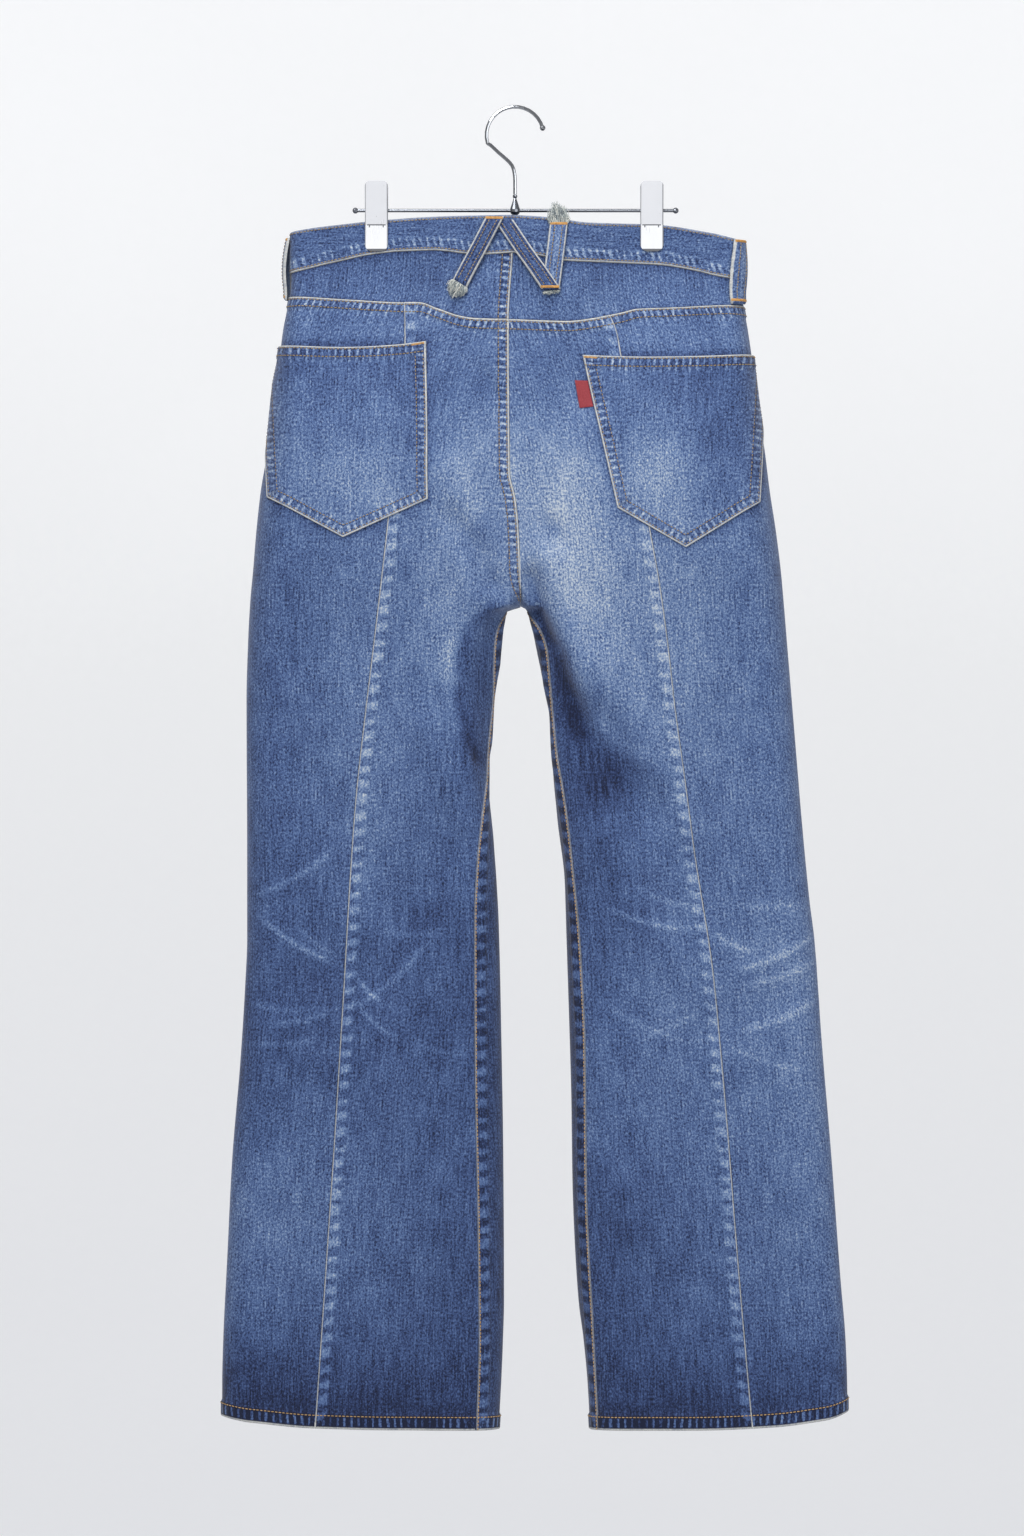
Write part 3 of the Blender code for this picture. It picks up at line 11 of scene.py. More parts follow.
import bpy
import numpy as np
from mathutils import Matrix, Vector

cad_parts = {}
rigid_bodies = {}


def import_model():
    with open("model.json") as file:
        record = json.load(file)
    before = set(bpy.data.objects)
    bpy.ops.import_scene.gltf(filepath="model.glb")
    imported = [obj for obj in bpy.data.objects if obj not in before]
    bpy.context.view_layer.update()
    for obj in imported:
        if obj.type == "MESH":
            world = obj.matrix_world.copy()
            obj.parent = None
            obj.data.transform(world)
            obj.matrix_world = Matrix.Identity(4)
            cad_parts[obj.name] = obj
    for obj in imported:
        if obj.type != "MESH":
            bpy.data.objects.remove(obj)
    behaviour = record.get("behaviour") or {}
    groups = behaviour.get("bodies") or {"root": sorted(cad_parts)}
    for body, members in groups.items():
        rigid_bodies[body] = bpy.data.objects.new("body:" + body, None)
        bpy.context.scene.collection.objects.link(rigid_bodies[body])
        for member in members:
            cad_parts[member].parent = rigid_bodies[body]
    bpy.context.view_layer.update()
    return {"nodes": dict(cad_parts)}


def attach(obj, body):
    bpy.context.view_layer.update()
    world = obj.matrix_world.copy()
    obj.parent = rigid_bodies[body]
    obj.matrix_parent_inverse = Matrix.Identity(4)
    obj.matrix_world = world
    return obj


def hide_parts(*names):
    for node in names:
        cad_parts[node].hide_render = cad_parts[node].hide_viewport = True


MM = 0.001

# Cloth and seams
CLOTH = 1.3
BAND_CLOTH = 2.6
SEAM_GAP = 0.3
SEAM_RAISE = 0.9
SEAM_STRIP = 10.0
HEM_HEIGHT = 13.0
HEM_RAISE = 1.2
LAY_GAP = 0.5

# Heights, as drops below the hook's inner top
CROTCH_DROP = 448.0
HIP_DROP = 245.0
FLAT_HEM_DROP = 1000.0

# Outline of each half from behind: the side fold, and the inner fold or centre seam
LEFT_OUTER = (
    # drop, x
    (90, -200.5), (160, -201), (182, -204.5), (200, -208), (219, -210.5), (255, -216.5),
    (309, -222), (345, -228), (381, -232), (417, -235), (444, -237.5), (480, -239.5), (534, -241),
    (678, -240.5), (750, -240.5), (786, -242), (858, -246.5), (948, -254), (1038, -258.5),
    (1110, -262), (1150, -263), (1200, -263),
)
RIGHT_OUTER = (
    (90, 202.5), (162, 203), (184, 206), (201, 209), (237, 214), (273, 218.5), (309, 224),
    (345, 228.5), (381, 234), (417, 238.5), (444, 241), (480, 244), (534, 248.5), (588, 253),
    (642, 257.5), (714, 264.5), (750, 269), (840, 275.5), (948, 284.5), (1056, 292.5), (1110, 297),
    (1150, 298.5), (1200, 299),
)
LEFT_INNER = (
    (448, 4.85), (450, -2), (452, -8), (456, -10), (480, -12.5), (498, -14.5), (516, -18),
    (534, -20.5), (570, -22.5), (588, -25), (606, -25), (660, -20.5), (732, -16), (840, -13.5),
    (948, -11.7), (1074, -11), (1110, -12), (1146, -13.5), (1200, -16.5),
)
RIGHT_INNER = (
    (448, 5.15), (450, 10), (452, 12.5), (456, 14), (480, 19), (502, 23.5), (519, 27), (534, 30.6),
    (547, 33), (584, 34.5), (642, 39.6), (696, 46), (750, 47.7), (894, 52), (966, 53), (1020, 55),
    (1074, 58.5), (1110, 63), (1146, 66.5), (1200, 69.5),
)
CENTRE_BACK = (
    (90, -2), (133, -2), (161, -4), (190, -5.5), (330, -4.5), (353, 0.5), (376, 3), (410, 4.5),
    (448, 5),
)
CENTRE_FRONT = ((90, 3), (200, 3), (448, 5))

# Seams on the back face
LEFT_INSEAM = (
    (448, 4.85), (450, -2), (452, -8), (456, -10.2), (462, -14), (470, -17.3), (480, -19.4),
    (496, -20.4), (528, -21.2), (580, -26), (602, -27), (629, -30), (660, -33.3), (690, -35.5),
    (729, -37), (858, -36.5), (1008, -34), (1105, -33), (1200, -36),
)
RIGHT_INSEAM = (
    (448, 5.15), (450, 10), (452, 12.5), (456, 14.2), (462, 18.5), (470, 23.5), (478, 27),
    (490, 30.5), (516, 33), (559, 37), (584, 39.6), (613, 44.5), (652, 50), (690, 54), (737, 58.5),
    (784, 61.5), (840, 64), (984, 65.7), (1045, 68.4), (1105, 72), (1200, 77),
)
LEFT_MID_SEAM = (
    (170, -100), (211, -99.5), (373, -114.5), (426, -120.5), (489, -128), (542, -134.5),
    (618, -143), (688, -148.5), (792, -154.5), (924, -162.5), (1008, -168), (1105, -174.5),
    (1200, -181),
)
RIGHT_MID_SEAM = (
    (180, 84), (202, 92), (220, 95), (384, 122), (426, 129.6), (486, 138), (536, 143.6), (605, 153),
    (668, 161.5), (764, 176.7), (811, 182), (929, 192.4), (1008, 198.5), (1081, 204.5), (1200, 215),
)
OUTSEAM_BEHIND = (
    # drop, how far round the front face the side seam lies
    (90, 7), (150, 9), (185, 16), (215, 25), (300, 27), (450, 25), (700, 22), (1200, 22),
)

# Section depths: the folds' mid plane, how far each face stands from it, and how widely
# each face rounds into its folds
SECTIONS = (
    # drop, mid_y, back, front, side_round, inner_round_back, inner_round_front
    (90, 0.0, 15, 12, 12, 8, 24), (135, 0.0, 17, 14, 13, 8, 24), (180, -0.5, 24, 18, 18, 8, 24),
    (250, -2.0, 33, 23, 25, 8, 24), (330, -3.0, 38, 26, 30, 8, 24), (400, -3.0, 37, 26, 30, 8, 24),
    (448, -2.0, 34, 25, 30, 8, 24), (500, -1.0, 31, 24, 30, 14, 25), (600, 0.0, 27, 22, 28, 22, 26),
    (750, 1.0, 23, 20, 26, 26, 26), (900, 1.0, 22, 20, 26, 28, 26), (1050, 0.0, 23, 22, 28, 28, 28),
    (1200, 0.0, 24, 23, 30, 30, 30),
)

# The overhang of the seat above the inner thigh: how far it stands in from the inner
# fold, and the share of the back face's depth that it takes
LEFT_LIP = (
    # drop, reach, share
    (90, 11, 0), (410, 11, 0), (448, 11, 0.5), (452, 15, 0.55), (458, 21, 0.6), (467, 28, 0.62),
    (480, 34, 0.62), (502, 38, 0.62), (525, 36, 0.6), (552, 30, 0.5), (576, 25, 0.4),
    (600, 20, 0.2), (640, 18, 0), (1200, 18, 0),
)
RIGHT_LIP = (
    (90, 11, 0), (410, 11, 0), (448, 11, 0.5), (452, 15, 0.55), (458, 20, 0.6), (467, 25, 0.62),
    (489, 31, 0.62), (525, 38, 0.6), (556, 46, 0.52), (592, 56, 0.34), (630, 64, 0.15),
    (680, 64, 0), (1200, 20, 0),
)
CROTCH_TURN_BACK = 34.0
CROTCH_TURN_FRONT = 60.0
CENTRE_BLEND = 12.0

# The hanger's clips pinch both faces together: a flat stretch under each, an easy rise
# on both sides of it, and a pinch that fades down the yoke
CLIP_X = (-125.0, 123.5)
PINCH_GAP = 0.4
PINCH_FLAT = 15.0
PINCHES = (
    # drop, rise width, strength
    (90, 44, 1.0), (134, 44, 1.0), (165, 46, 0.78), (200, 50, 0.42), (250, 56, 0.12), (290, 60, 0),
)

# Large folds: soft ridges (plus) and troughs (minus) between two points of a face
FOLDS = {
    # x1, drop1, x2, drop2, half_width, height
    "back": (
        (-54, 372, -22, 428, 11, -7), (-98, 172, -97, 232, 15, -3.5), (-62, 330, -34, 438, 16, 4),
        (-28, 238, -13, 262, 6, -2), (-176, 250, -150, 420, 34, 3), (-215, 560, -120, 700, 30, -3),
        (-78, 560, -46, 640, 14, 4), (-60, 655, -120, 770, 26, -4),
        (-225, 800, -170, 770, 18, -2.5), (-110, 880, -70, 1010, 30, 3),
        (-205, 1010, -225, 1150, 26, -3), (-75, 1080, -95, 1180, 22, -3), (15, 425, 27, 474, 8, -9),
        (30, 408, 70, 525, 15, 6.5), (34, 380, 38, 392, 10, -4), (64, 548, 118, 622, 26, -9),
        (75, 505, 150, 640, 18, 4.5), (150, 255, 170, 400, 30, 3.5), (62, 200, 58, 262, 20, -3.5),
        (190, 560, 160, 720, 32, -3), (80, 660, 130, 760, 24, 4), (235, 800, 180, 830, 20, -2.5),
        (95, 860, 110, 1010, 30, 3), (84, 1010, 112, 1050, 14, -3), (250, 1040, 262, 1160, 26, -3),
    ),
    "front": (
        (-60, 330, -140, 300, 20, -4), (-50, 372, -150, 372, 18, -4), (-40, 470, -100, 520, 20, -5),
        (-130, 620, -125, 900, 34, 4), (-60, 700, -150, 760, 24, -3),
        (-200, 960, -215, 1150, 26, -3), (-80, 1030, -90, 1160, 26, -3),
        (66, 330, 142, 302, 20, -4), (54, 376, 150, 370, 18, -4), (46, 470, 110, 520, 20, -5),
        (160, 620, 175, 900, 34, 4), (90, 700, 190, 770, 24, -3), (250, 960, 262, 1150, 26, -3),
        (110, 1030, 125, 1160, 26, -3),
    ),
}

# Cross seams, as drops at shares of the way from the centre front (-1) round the side
# fold (0) to the centre back (1); a hem's -1 and 1 are both its inner fold
LEFT_LINES = {
    "waist_top": (
        (-1, 114), (-0.75, 108), (-0.45, 103), (0, 112), (0.15, 107.5), (0.38, 101.7), (0.6, 98.5),
        (0.85, 97.5), (1, 97),
    ),
    "waist_seam": (
        (-1, 151), (-0.75, 145), (-0.45, 140), (0, 149.5), (0.2, 140.5), (0.38, 132), (0.52, 129),
        (0.65, 128.6), (0.85, 133), (1, 131.5),
    ),
    "yoke_seam": (
        (-1, 190), (-0.5, 180), (0, 170.5), (0.3, 173), (0.53, 175.5), (0.61, 175.5), (0.7, 181.5),
        (0.8, 188.5), (0.86, 190.5), (1, 191.5),
    ),
    "hem": (
        (-1, 1191), (-0.5, 1190), (0, 1179), (0.14, 1184), (0.35, 1189), (0.7, 1191), (1, 1191),
    ),
}
RIGHT_LINES = {
    "waist_top": (
        (-1, 114), (-0.75, 109), (-0.45, 105), (0, 120), (0.15, 113), (0.38, 105), (0.5, 104),
        (0.68, 103.5), (0.85, 99), (1, 97),
    ),
    "waist_seam": (
        (-1, 151), (-0.75, 146), (-0.45, 142), (0, 157), (0.12, 153), (0.25, 146), (0.38, 141.5),
        (0.55, 139.8), (0.78, 138.5), (0.92, 133), (1, 131.5),
    ),
    "yoke_seam": (
        (-1, 190), (-0.5, 184), (0, 179), (0.1, 178.5), (0.36, 180.5), (0.48, 181.5), (0.57, 186),
        (0.66, 190), (0.78, 193), (1, 191.5),
    ),
    "hem": (
        (-1, 1191), (-0.5, 1190), (0, 1175), (0.12, 1182), (0.3, 1188), (0.6, 1191), (1, 1191),
    ),
}

YOKE_DROP = 181.0
HEM_DROP = 1189.0
SEAT_EDGE = 25.0
CROTCH_EXTRA = (
    # drop, how much longer the back's section is for turning under the crotch
    (412, 0), (432, 5), (438, 10), (443, 16), (446, 22), (448, 33), (450, 27), (453, 20), (458, 13),
    (466, 8), (480, 5), (522, 2), (582, 0),
)
SIDE_GUIDE = -0.1

# Back pockets: corners on the back face, and the bottom point
POCKETS = {
    "left": (
        (-227, 213), (-79.5, 211.5), (-78, 353.5), (-154.5, 388), (-221, 352),
    ),
    "right": (
        (60.5, 224), (225, 222), (218.5, 356.5), (153.5, 397), (92, 361.5),
    ),
}
POCKET_SAG = {"left": 5.0, "right": 3.0}
LABEL_TAB = ((53.4, 247.0), (65.4, 247.4), (70.6, 270.8), (58.0, 272.2))
POCKET_HEM = 11.0
POCKET_LIFT = 0.6
FACING_SHALLOW = 0.35

# Front pocket mouths: how far along the waist seam and down the side they reach
SCOOP_WIDTH = 92.0
SCOOP_DEPTH = 82.0

# Fly
FLY_OVERLAP = 22.0

# Belt loops and the label tab
LOOP_WIDTH = 14.6
LOOP_CLOTH = 2.2
LOOP_BOW = 2.2
TAB_CLOTH = 1.0


# Curves through tables

def curve(rows, column=1):
    """A smooth function through a table's first column and another, with no overshoot."""
    knots = np.array([row[0] for row in rows], float)
    values = np.array([row[column] for row in rows], float)
    gaps = np.diff(knots)
    slopes = np.diff(values) / gaps
    tangents = np.empty(len(knots))
    tangents[0], tangents[-1] = slopes[0], slopes[-1]
    before, after = slopes[:-1], slopes[1:]
    total = np.where(before + after == 0, 1, before + after)
    tangents[1:-1] = np.where(before * after > 0, 2 * before * after / total, 0)

    def at(place):
        place = np.clip(np.asarray(place, float), knots[0], knots[-1])
        i = np.clip(np.searchsorted(knots, place) - 1, 0, len(gaps) - 1)
        t = (place - knots[i]) / gaps[i]
        rise = (
            tangents[i] * t * (1 - t) ** 2 - tangents[i + 1] * t * t * (1 - t)
        ) * gaps[i]
        return values[i] + (values[i + 1] - values[i]) * t * t * (3 - 2 * t) + rise

    return at


def smooth_step(value, low, high):
    t = np.clip((value - low) / (high - low), 0, 1)
    return t * t * (3 - 2 * t)


MID_Y, BACK_DEPTH, FRONT_DEPTH, SIDE_ROUND, INNER_ROUND_BACK, INNER_ROUND_FRONT = (
    curve(SECTIONS, column) for column in range(1, 7)
)
PINCH_WIDTH, PINCH_STRENGTH = curve(PINCHES, 1), curve(PINCHES, 2)
OUTSEAM, CROTCH_LENGTH = curve(OUTSEAM_BEHIND), curve(CROTCH_EXTRA)


def beside_line(x, drop, x1, drop1, x2, drop2):
    """Lengths along and across a line between two places, and the line's own length."""
    along = np.array((x2 - x1, drop2 - drop1), float)
    length = np.hypot(*along)
    along /= length
    forward = (x - x1) * along[0] + (drop - drop1) * along[1]
    across = (x - x1) * -along[1] + (drop - drop1) * along[0]
    return forward, across, length


def fold_height(face, x, drop):
    """The large folds' height at points of one face."""
    height = np.zeros(np.broadcast(x, drop).shape)
    for *line, half_width, rise in FOLDS[face]:
        forward, across, length = beside_line(x, drop, *line)
        beyond = np.maximum(0, np.maximum(-forward, forward - length))
        height = height + rise * np.exp(
            -((across / half_width) ** 2) - (beyond / (1.3 * half_width)) ** 2
        )
    return height


def rounded(distance, radius):
    """A quarter ellipse's height at a distance in from its end."""
    t = np.clip(distance / radius, 0, 1)
    return np.sqrt(np.clip(1 - (1 - t) ** 2, 0, 1))


class Half:
    """One side of the trousers' inner surface, as a table of drops and shares.

    A share is 0 at the side fold, 1 at the centre back or the inner fold reached over
    the back face, and -1 at the centre front or the inner fold over the front face.
    """

    STEP = 2.0
    FIRST, LAST = 86.0, 1206.0
    ACROSS = 121
    NORMAL_STEP = 0.6
    PANEL_WIDE = 230

    def __init__(self, side, outer, inner, inseam, mid_seam, lip, lines):
        self.side = side
        self.word = "left" if side < 0 else "right"
        self.outer, self.inner = curve(outer), curve(inner)
        self.inseam_x, self.mid_x = curve(inseam), curve(mid_seam)
        self.lip_reach, self.lip_share = curve(lip, 1), curve(lip, 2)
        self.lines = {name: curve(rows) for name, rows in lines.items()}
        self.centre_back, self.centre_front = curve(CENTRE_BACK), curve(CENTRE_FRONT)
        self.drops = np.arange(self.FIRST, self.LAST + self.STEP, self.STEP)
        self.tables, self.lengths = {}, {}
        for face in ("back", "front"):
            self.tables[face], self.lengths[face] = self.face_table(face)

    def inner_x(self, face, drop):
        centre = self.centre_back if face == "back" else self.centre_front
        clear = self.side * SEAM_GAP / 2
        return np.where(drop < CROTCH_DROP, centre(drop) + clear, self.inner(drop))

    def face_table(self, face):
        """x and y at even shares of each section's face, and the faces' lengths."""
        drop = self.drops[:, None]
        turn = (1 - np.cos(np.linspace(0, math.pi, self.ACROSS)))[None, :] / 2
        outer, inner = self.outer(drop), self.inner_x(face, drop)
        x = outer + (inner - outer) * turn
        y = self.face_y(face, x, drop, outer, inner)
        steps = np.hypot(np.diff(x, axis=1), np.diff(y, axis=1))
        along = np.concatenate(
            [np.zeros((len(x), 1)), np.cumsum(steps, axis=1)], axis=1
        )
        even = np.linspace(0, 1, self.ACROSS)
        table = np.empty((len(x), self.ACROSS, 2))
        for i, reach in enumerate(along):
            table[i, :, 0] = np.interp(even * reach[-1], reach, x[i])
            table[i, :, 1] = np.interp(even * reach[-1], reach, y[i])
        return table, along[:, -1]

    def face_y(self, face, x, drop, outer, inner):
        """How far back a face lies at x, from its rounded ends, folds and pinches."""
        back = face == "back"
        depth = BACK_DEPTH(drop) if back else FRONT_DEPTH(drop)
        from_side, from_inner = np.abs(x - outer), np.abs(x - inner)
        turn = CROTCH_TURN_BACK if back else CROTCH_TURN_FRONT
        rounding = INNER_ROUND_BACK(drop) if back else INNER_ROUND_FRONT(drop)
        end = rounded(from_inner, rounding)
        if back:
            reach, share = self.lip_reach(drop), self.lip_share(drop)
            lip = smooth_step(from_inner, 0, reach)
            end = (1 - share) * end + share * lip
        closed = np.clip((drop - CROTCH_DROP + turn) / turn, 0, 1)
        open_share = np.sqrt(np.clip(1 - closed**2, 0, 1))
        end = open_share + (1 - open_share) * end
        height = rounded(from_side, SIDE_ROUND(drop)) * end
        folds = fold_height(face, x, drop) * smooth_step(height, 0.1, 0.9)
        beside = np.abs(x - (CLIP_X[0] if self.side < 0 else CLIP_X[1]))
        beside = np.maximum(0, beside - PINCH_FLAT) / PINCH_WIDTH(drop)
        pinch = np.exp(-(beside**2)) * PINCH_STRENGTH(drop)
        y = height * depth + folds
        y = np.where(pinch > 0, PINCH_GAP * pinch + y * (1 - pinch), y)
        mid = MID_Y(drop)
        return mid - y if back else mid + y

    def xy(self, drop, share):
        """x and y at a drop and a share, read between the table's points."""
        drop, share = np.broadcast_arrays(
            np.asarray(drop, float), np.asarray(share, float)
        )
        row = np.clip((drop - self.FIRST) / self.STEP, 0, len(self.drops) - 1.001)
        i = row.astype(int)
        part = (row - i)[..., None]
        found = np.zeros(drop.shape + (2,))
        for face, sign in (("back", 1), ("front", -1)):
            here = share >= 0 if sign > 0 else share < 0
            column = np.clip(share * sign, 0, 0.999999) * (self.ACROSS - 1)
            j = column.astype(int)
            across = (column - j)[..., None]
            table = self.tables[face]
            above = table[i, j] * (1 - across) + table[i, j + 1] * across
            below = table[i + 1, j] * (1 - across) + table[i + 1, j + 1] * across
            found = np.where(here[..., None], above * (1 - part) + below * part, found)
        return found

    def length(self, face, drop):
        return np.interp(drop, self.drops, self.lengths[face])

    def share_of_x(self, x, drop):
        """The back face's share where it has a given x."""
        row = int(np.clip(round((drop - self.FIRST) / self.STEP), 0, len(self.drops) - 1))
        found = self.tables["back"][row, :, 0]
        shares = np.linspace(0, 1, self.ACROSS)
        order = 1 if found[-1] > found[0] else -1
        return float(np.interp(x, found[::order], shares[::order]))

    def inseam_reach(self, drop):
        """The inseam's length in from the inner fold, over the back face."""
        back = self.length("back", drop)
        return back * (1 - self.share_of_x(float(self.inseam_x(drop)), drop))

    def wrapped(self, share, drop):
        """A share past an end of the front face, as one of the back face."""
        past = np.maximum(0, -1 - share) * self.length("front", drop)
        back = 1 - past / self.length("back", drop)
        return np.where(share < -1, back, share)

    def points(self, drop, share):
        """Points of the inner surface, and its outward normals, in millimetres."""
        share = self.wrapped(share, drop)
        step = self.NORMAL_STEP
        nudge = step / self.PANEL_WIDE
        here = self.place(drop, share)
        down = self.place(drop + step, share) - self.place(drop - step, share)
        low, high = share - nudge, share + nudge
        low = np.where(share >= 0, np.maximum(low, -0.02), np.maximum(low, -1))
        over = self.place(drop, np.minimum(high, 1)) - self.place(drop, low)
        normal = np.cross(over, down)
        normal *= self.side / np.linalg.norm(normal, axis=-1, keepdims=True)
        return here, self.centre_normal(drop, share, normal)

    def centre_normal(self, drop, share, normal):
        """Normals that meet the other half's cleanly at the centre and under the crotch."""
        drop, share = np.broadcast_arrays(drop, share)
        back = share >= 0
        turn = np.where(back, CROTCH_TURN_BACK, CROTCH_TURN_FRONT)
        depth = np.where(back, BACK_DEPTH(drop), FRONT_DEPTH(drop))
        under = np.clip((drop - CROTCH_DROP + turn) / turn, 0, 1)
        facing = np.where(back, -1.0, 1.0)
        ellipse = np.stack([
            0 * drop, facing * np.sqrt(1 - under**2) / depth, -under / turn
        ], axis=-1)
        level = normal * np.array((0.0, 1.0, 1.0))
        wanted = np.where((under > 0)[..., None], ellipse, level)
        wanted /= np.linalg.norm(wanted, axis=-1, keepdims=True) + 1e-9
        length = np.where(back, self.length("back", drop), self.length("front", drop))
        away = (1 - np.abs(share)) * length
        keep = np.clip(1 - away / CENTRE_BLEND, 0, 1) * (drop <= CROTCH_DROP)
        mixed = normal * (1 - keep[..., None]) + wanted * keep[..., None]
        return mixed / np.linalg.norm(mixed, axis=-1, keepdims=True)

    def place(self, drop, share):
        xy = self.xy(drop, share)
        drop = np.broadcast_to(drop, xy.shape[:-1])
        return np.stack([xy[..., 0], xy[..., 1], -drop], axis=-1)

    def level_drop(self, level, share):
        """The drop of a nominal level at a share: flat down the thigh, and bending
        towards the yoke seam above and the hem below."""
        share = np.where(share < -1, -1, share)
        yoke, hem = self.lines["yoke_seam"](share), self.lines["hem"](share)
        above = yoke + (HIP_DROP - yoke) * level
        below = FLAT_HEM_DROP + (hem - FLAT_HEM_DROP) * (level - 2)
        return np.where(level <= 1, above, below)


LEFT = Half(-1, LEFT_OUTER, LEFT_INNER, LEFT_INSEAM, LEFT_MID_SEAM, LEFT_LIP, LEFT_LINES)
RIGHT = Half(1, RIGHT_OUTER, RIGHT_INNER, RIGHT_INSEAM, RIGHT_MID_SEAM, RIGHT_LIP,
             RIGHT_LINES)


def shares_of(half, places, drop, side_drop=None):
    """Lengths from the side fold, + over the back, as shares."""
    front = half.length("front", drop if side_drop is None else side_drop)
    return places / np.where(places < 0, front, half.length("back", drop))


def scoop_edge(drop, depth):
    """How far the front pocket's mouth stands in from the side fold."""
    t = min(1.0, max(0.0, depth / SCOOP_DEPTH))
    seam = float(OUTSEAM(drop))
    return seam + (SCOOP_WIDTH - seam) * math.sqrt(max(0.0, 1 - t * t))


def level_to_drop(half, level, share):
    """The drop of one row. Levels over 3 are plain drops."""
    share = np.maximum(share, -1)
    if level > 3:
        return np.full(np.shape(share), float(level))
    return half.level_drop(level, share)


# Fine grids for the cloth that shows
# The _IN tables are lengths in from an edge where a grid has its close lines, in
# millimetres: by a folded edge, by a plain one and by the hem.

FOLD_IN = (0.0, 0.35, 0.9, 2.0, 3.6, 5.4, 7.2, 9.0, 10.0, 10.9, 12.2, 14.5)
PLAIN_IN = (0.0, 0.5, 1.6, 3.6)
HEM_IN = (0.0, 0.4, 1.0, 2.2, 4.0, 6.0, 8.0, 10.0, 11.6, 12.6, 13.5, 14.6, 16.4)
# Gaps between rows down the leg, closer ones between two drops by the crotch, and how
# many of the outer face's lines go to one of the inner face's
STEP_DOWN = 3.0
STEP_CROTCH = 2.0
CROTCH_ZONE = (402.0, 520.0)
COARSE = 2


def folded(distance, width, rise):
    """How high a doubled strip stands: rounded at its fold and easing down past it."""
    return rise * rounded(distance, 0.9) * (1 - smooth_step(distance, width - 0.4, width + 1.8))


def between(start, end, near_start, near_end, count):
    """Columns from start to end: close ones by both edges, and count even gaps."""
    sign = 1 if end > start else -1
    first, last = start + sign * near_start[-1], end - sign * near_end[-1]
    head = start + sign * np.array(near_start)
    tail = end - sign * np.array(near_end[::-1])
    return np.concatenate([head, np.linspace(first, last, count + 1)[1:-1], tail])


def leg_rows():
    """Nominal levels of a leg's rows: 0 to 1 at the hip, plain drops, 2 to 3 at the hem."""
    span = HIP_DROP - YOKE_DROP
    rows = [(SEAM_GAP / 2 + d) / span for d in FOLD_IN]
    rows += list(np.arange(FOLD_IN[-1] + STEP_DOWN, span - 1, STEP_DOWN) / span)
    low, high = CROTCH_ZONE
    rows += list(np.arange(HIP_DROP, low, STEP_DOWN))
    rows += list(np.arange(low, high, STEP_CROTCH))
    rows += list(np.arange(high, FLAT_HEM_DROP, STEP_DOWN))
    span = HEM_DROP - FLAT_HEM_DROP
    rows += list(2 + np.arange(0, span - HEM_IN[-1] - 1, STEP_DOWN) / span)
    rows += [3 - d / span for d in reversed(HEM_IN)]
    return rows


def back_columns(half, inner, drop, side_drop, inner_drop):
    """A back row's places: to the long seam, or from it to the centre or the inseam."""
    back = half.length("back", drop)
    seam = back * half.share_of_x(float(half.mid_x(drop)), drop)
    if not inner:
        start = -float(OUTSEAM(side_drop)) + SEAM_GAP / 2
        return between(start, seam - SEAM_GAP / 2, PLAIN_IN, PLAIN_IN, 48)
    start, end = seam + SEAM_GAP / 2, back
    if drop >= CROTCH_DROP:
        end -= half.inseam_reach(inner_drop) + SEAM_GAP / 2
    crest = end - SEAT_EDGE - float(CROTCH_LENGTH(drop))
    near_end = FOLD_IN if half is LEFT else PLAIN_IN
    first = start + FOLD_IN[-1]
    return np.concatenate([
        start + np.array(FOLD_IN), np.linspace(first, crest, 31)[1:],
        np.linspace(crest, end - near_end[-1], 11)[1:-1], end - np.array(near_end[::-1]),
    ])


def line_at(outer, normal, lengths, inset):
    """Where each row of a grid is at an inset from its edge: points and normals."""
    points, facing = [], []
    for row, turned, reach in zip(outer, normal, lengths):
        order = np.argsort(reach)
        for found, values in ((points, row), (facing, turned)):
            found.append([np.interp(inset, reach[order], values[order, a]) for a in range(3)])
    return np.array(points), np.array(facing)


class Cloth:
    """A fine grid on one half's surface, with lengths in from each of its edges.

    Each seam is a length in from it, a run along it and three amounts. The first is of
    ladder marks: over 1.1 it asks for a broad pale strip, and below 0 for the
    waistband's slanted marks. The second is of the worn fold, the third of the fringe.
    """

    def __init__(self, half, drops, shares, across):
        self.half = half
        self.drops, self.shares = np.array(drops), np.array(shares)
        self.across = np.array(across)
        self.base, self.normal = half.points(self.drops, self.shares)
        self.from_start = np.abs(self.across - self.across[:, :1])
        self.from_end = np.abs(self.across[:, -1:] - self.across)
        steps = np.linalg.norm(np.diff(self.base, axis=0), axis=-1)
        down = np.concatenate([np.zeros((1, steps.shape[1])), np.cumsum(steps, axis=0)])
        self.from_top, self.from_bottom = down, down[-1:] - down
        self.thick = np.full(self.drops.shape, CLOTH)
        self.lift = np.zeros(self.drops.shape)
        self.seams = []
        self.fade = None

    def raise_by(self, *heights):
        self.thick = CLOTH + np.maximum.reduce([0 * self.drops, *heights])
        self.lift = relief(self.place_x(), self.drops, self.shares)

    def place_x(self):
        return self.base[..., 0]

    def seam(self, distance, run, ladder, pale, teeth):
        self.seams.append((distance, run, ladder, pale, teeth))

    def outer(self, above=0.0):
        return self.base + self.normal * (self.lift + self.thick + above)[..., None]

    def inner(self):
        return self.base + self.normal * self.lift[..., None]

    def line_down(self, from_edge, inset, rows=slice(None)):
        """Points and normals down the cloth at an inset from its start or end edge."""
        return line_at(self.outer(THREAD_LIFT)[rows], self.normal[rows], from_edge[rows], inset)

    def line_across(self, from_edge, inset):
        """Points and normals across the cloth at an inset from its top or bottom edge."""
        outer, normal = (g.transpose(1, 0, 2) for g in (self.outer(THREAD_LIFT), self.normal))
        return line_at(outer, normal, from_edge.T, inset)


SEAM_FAR = 40.0
SEAM_SEED = 7.3


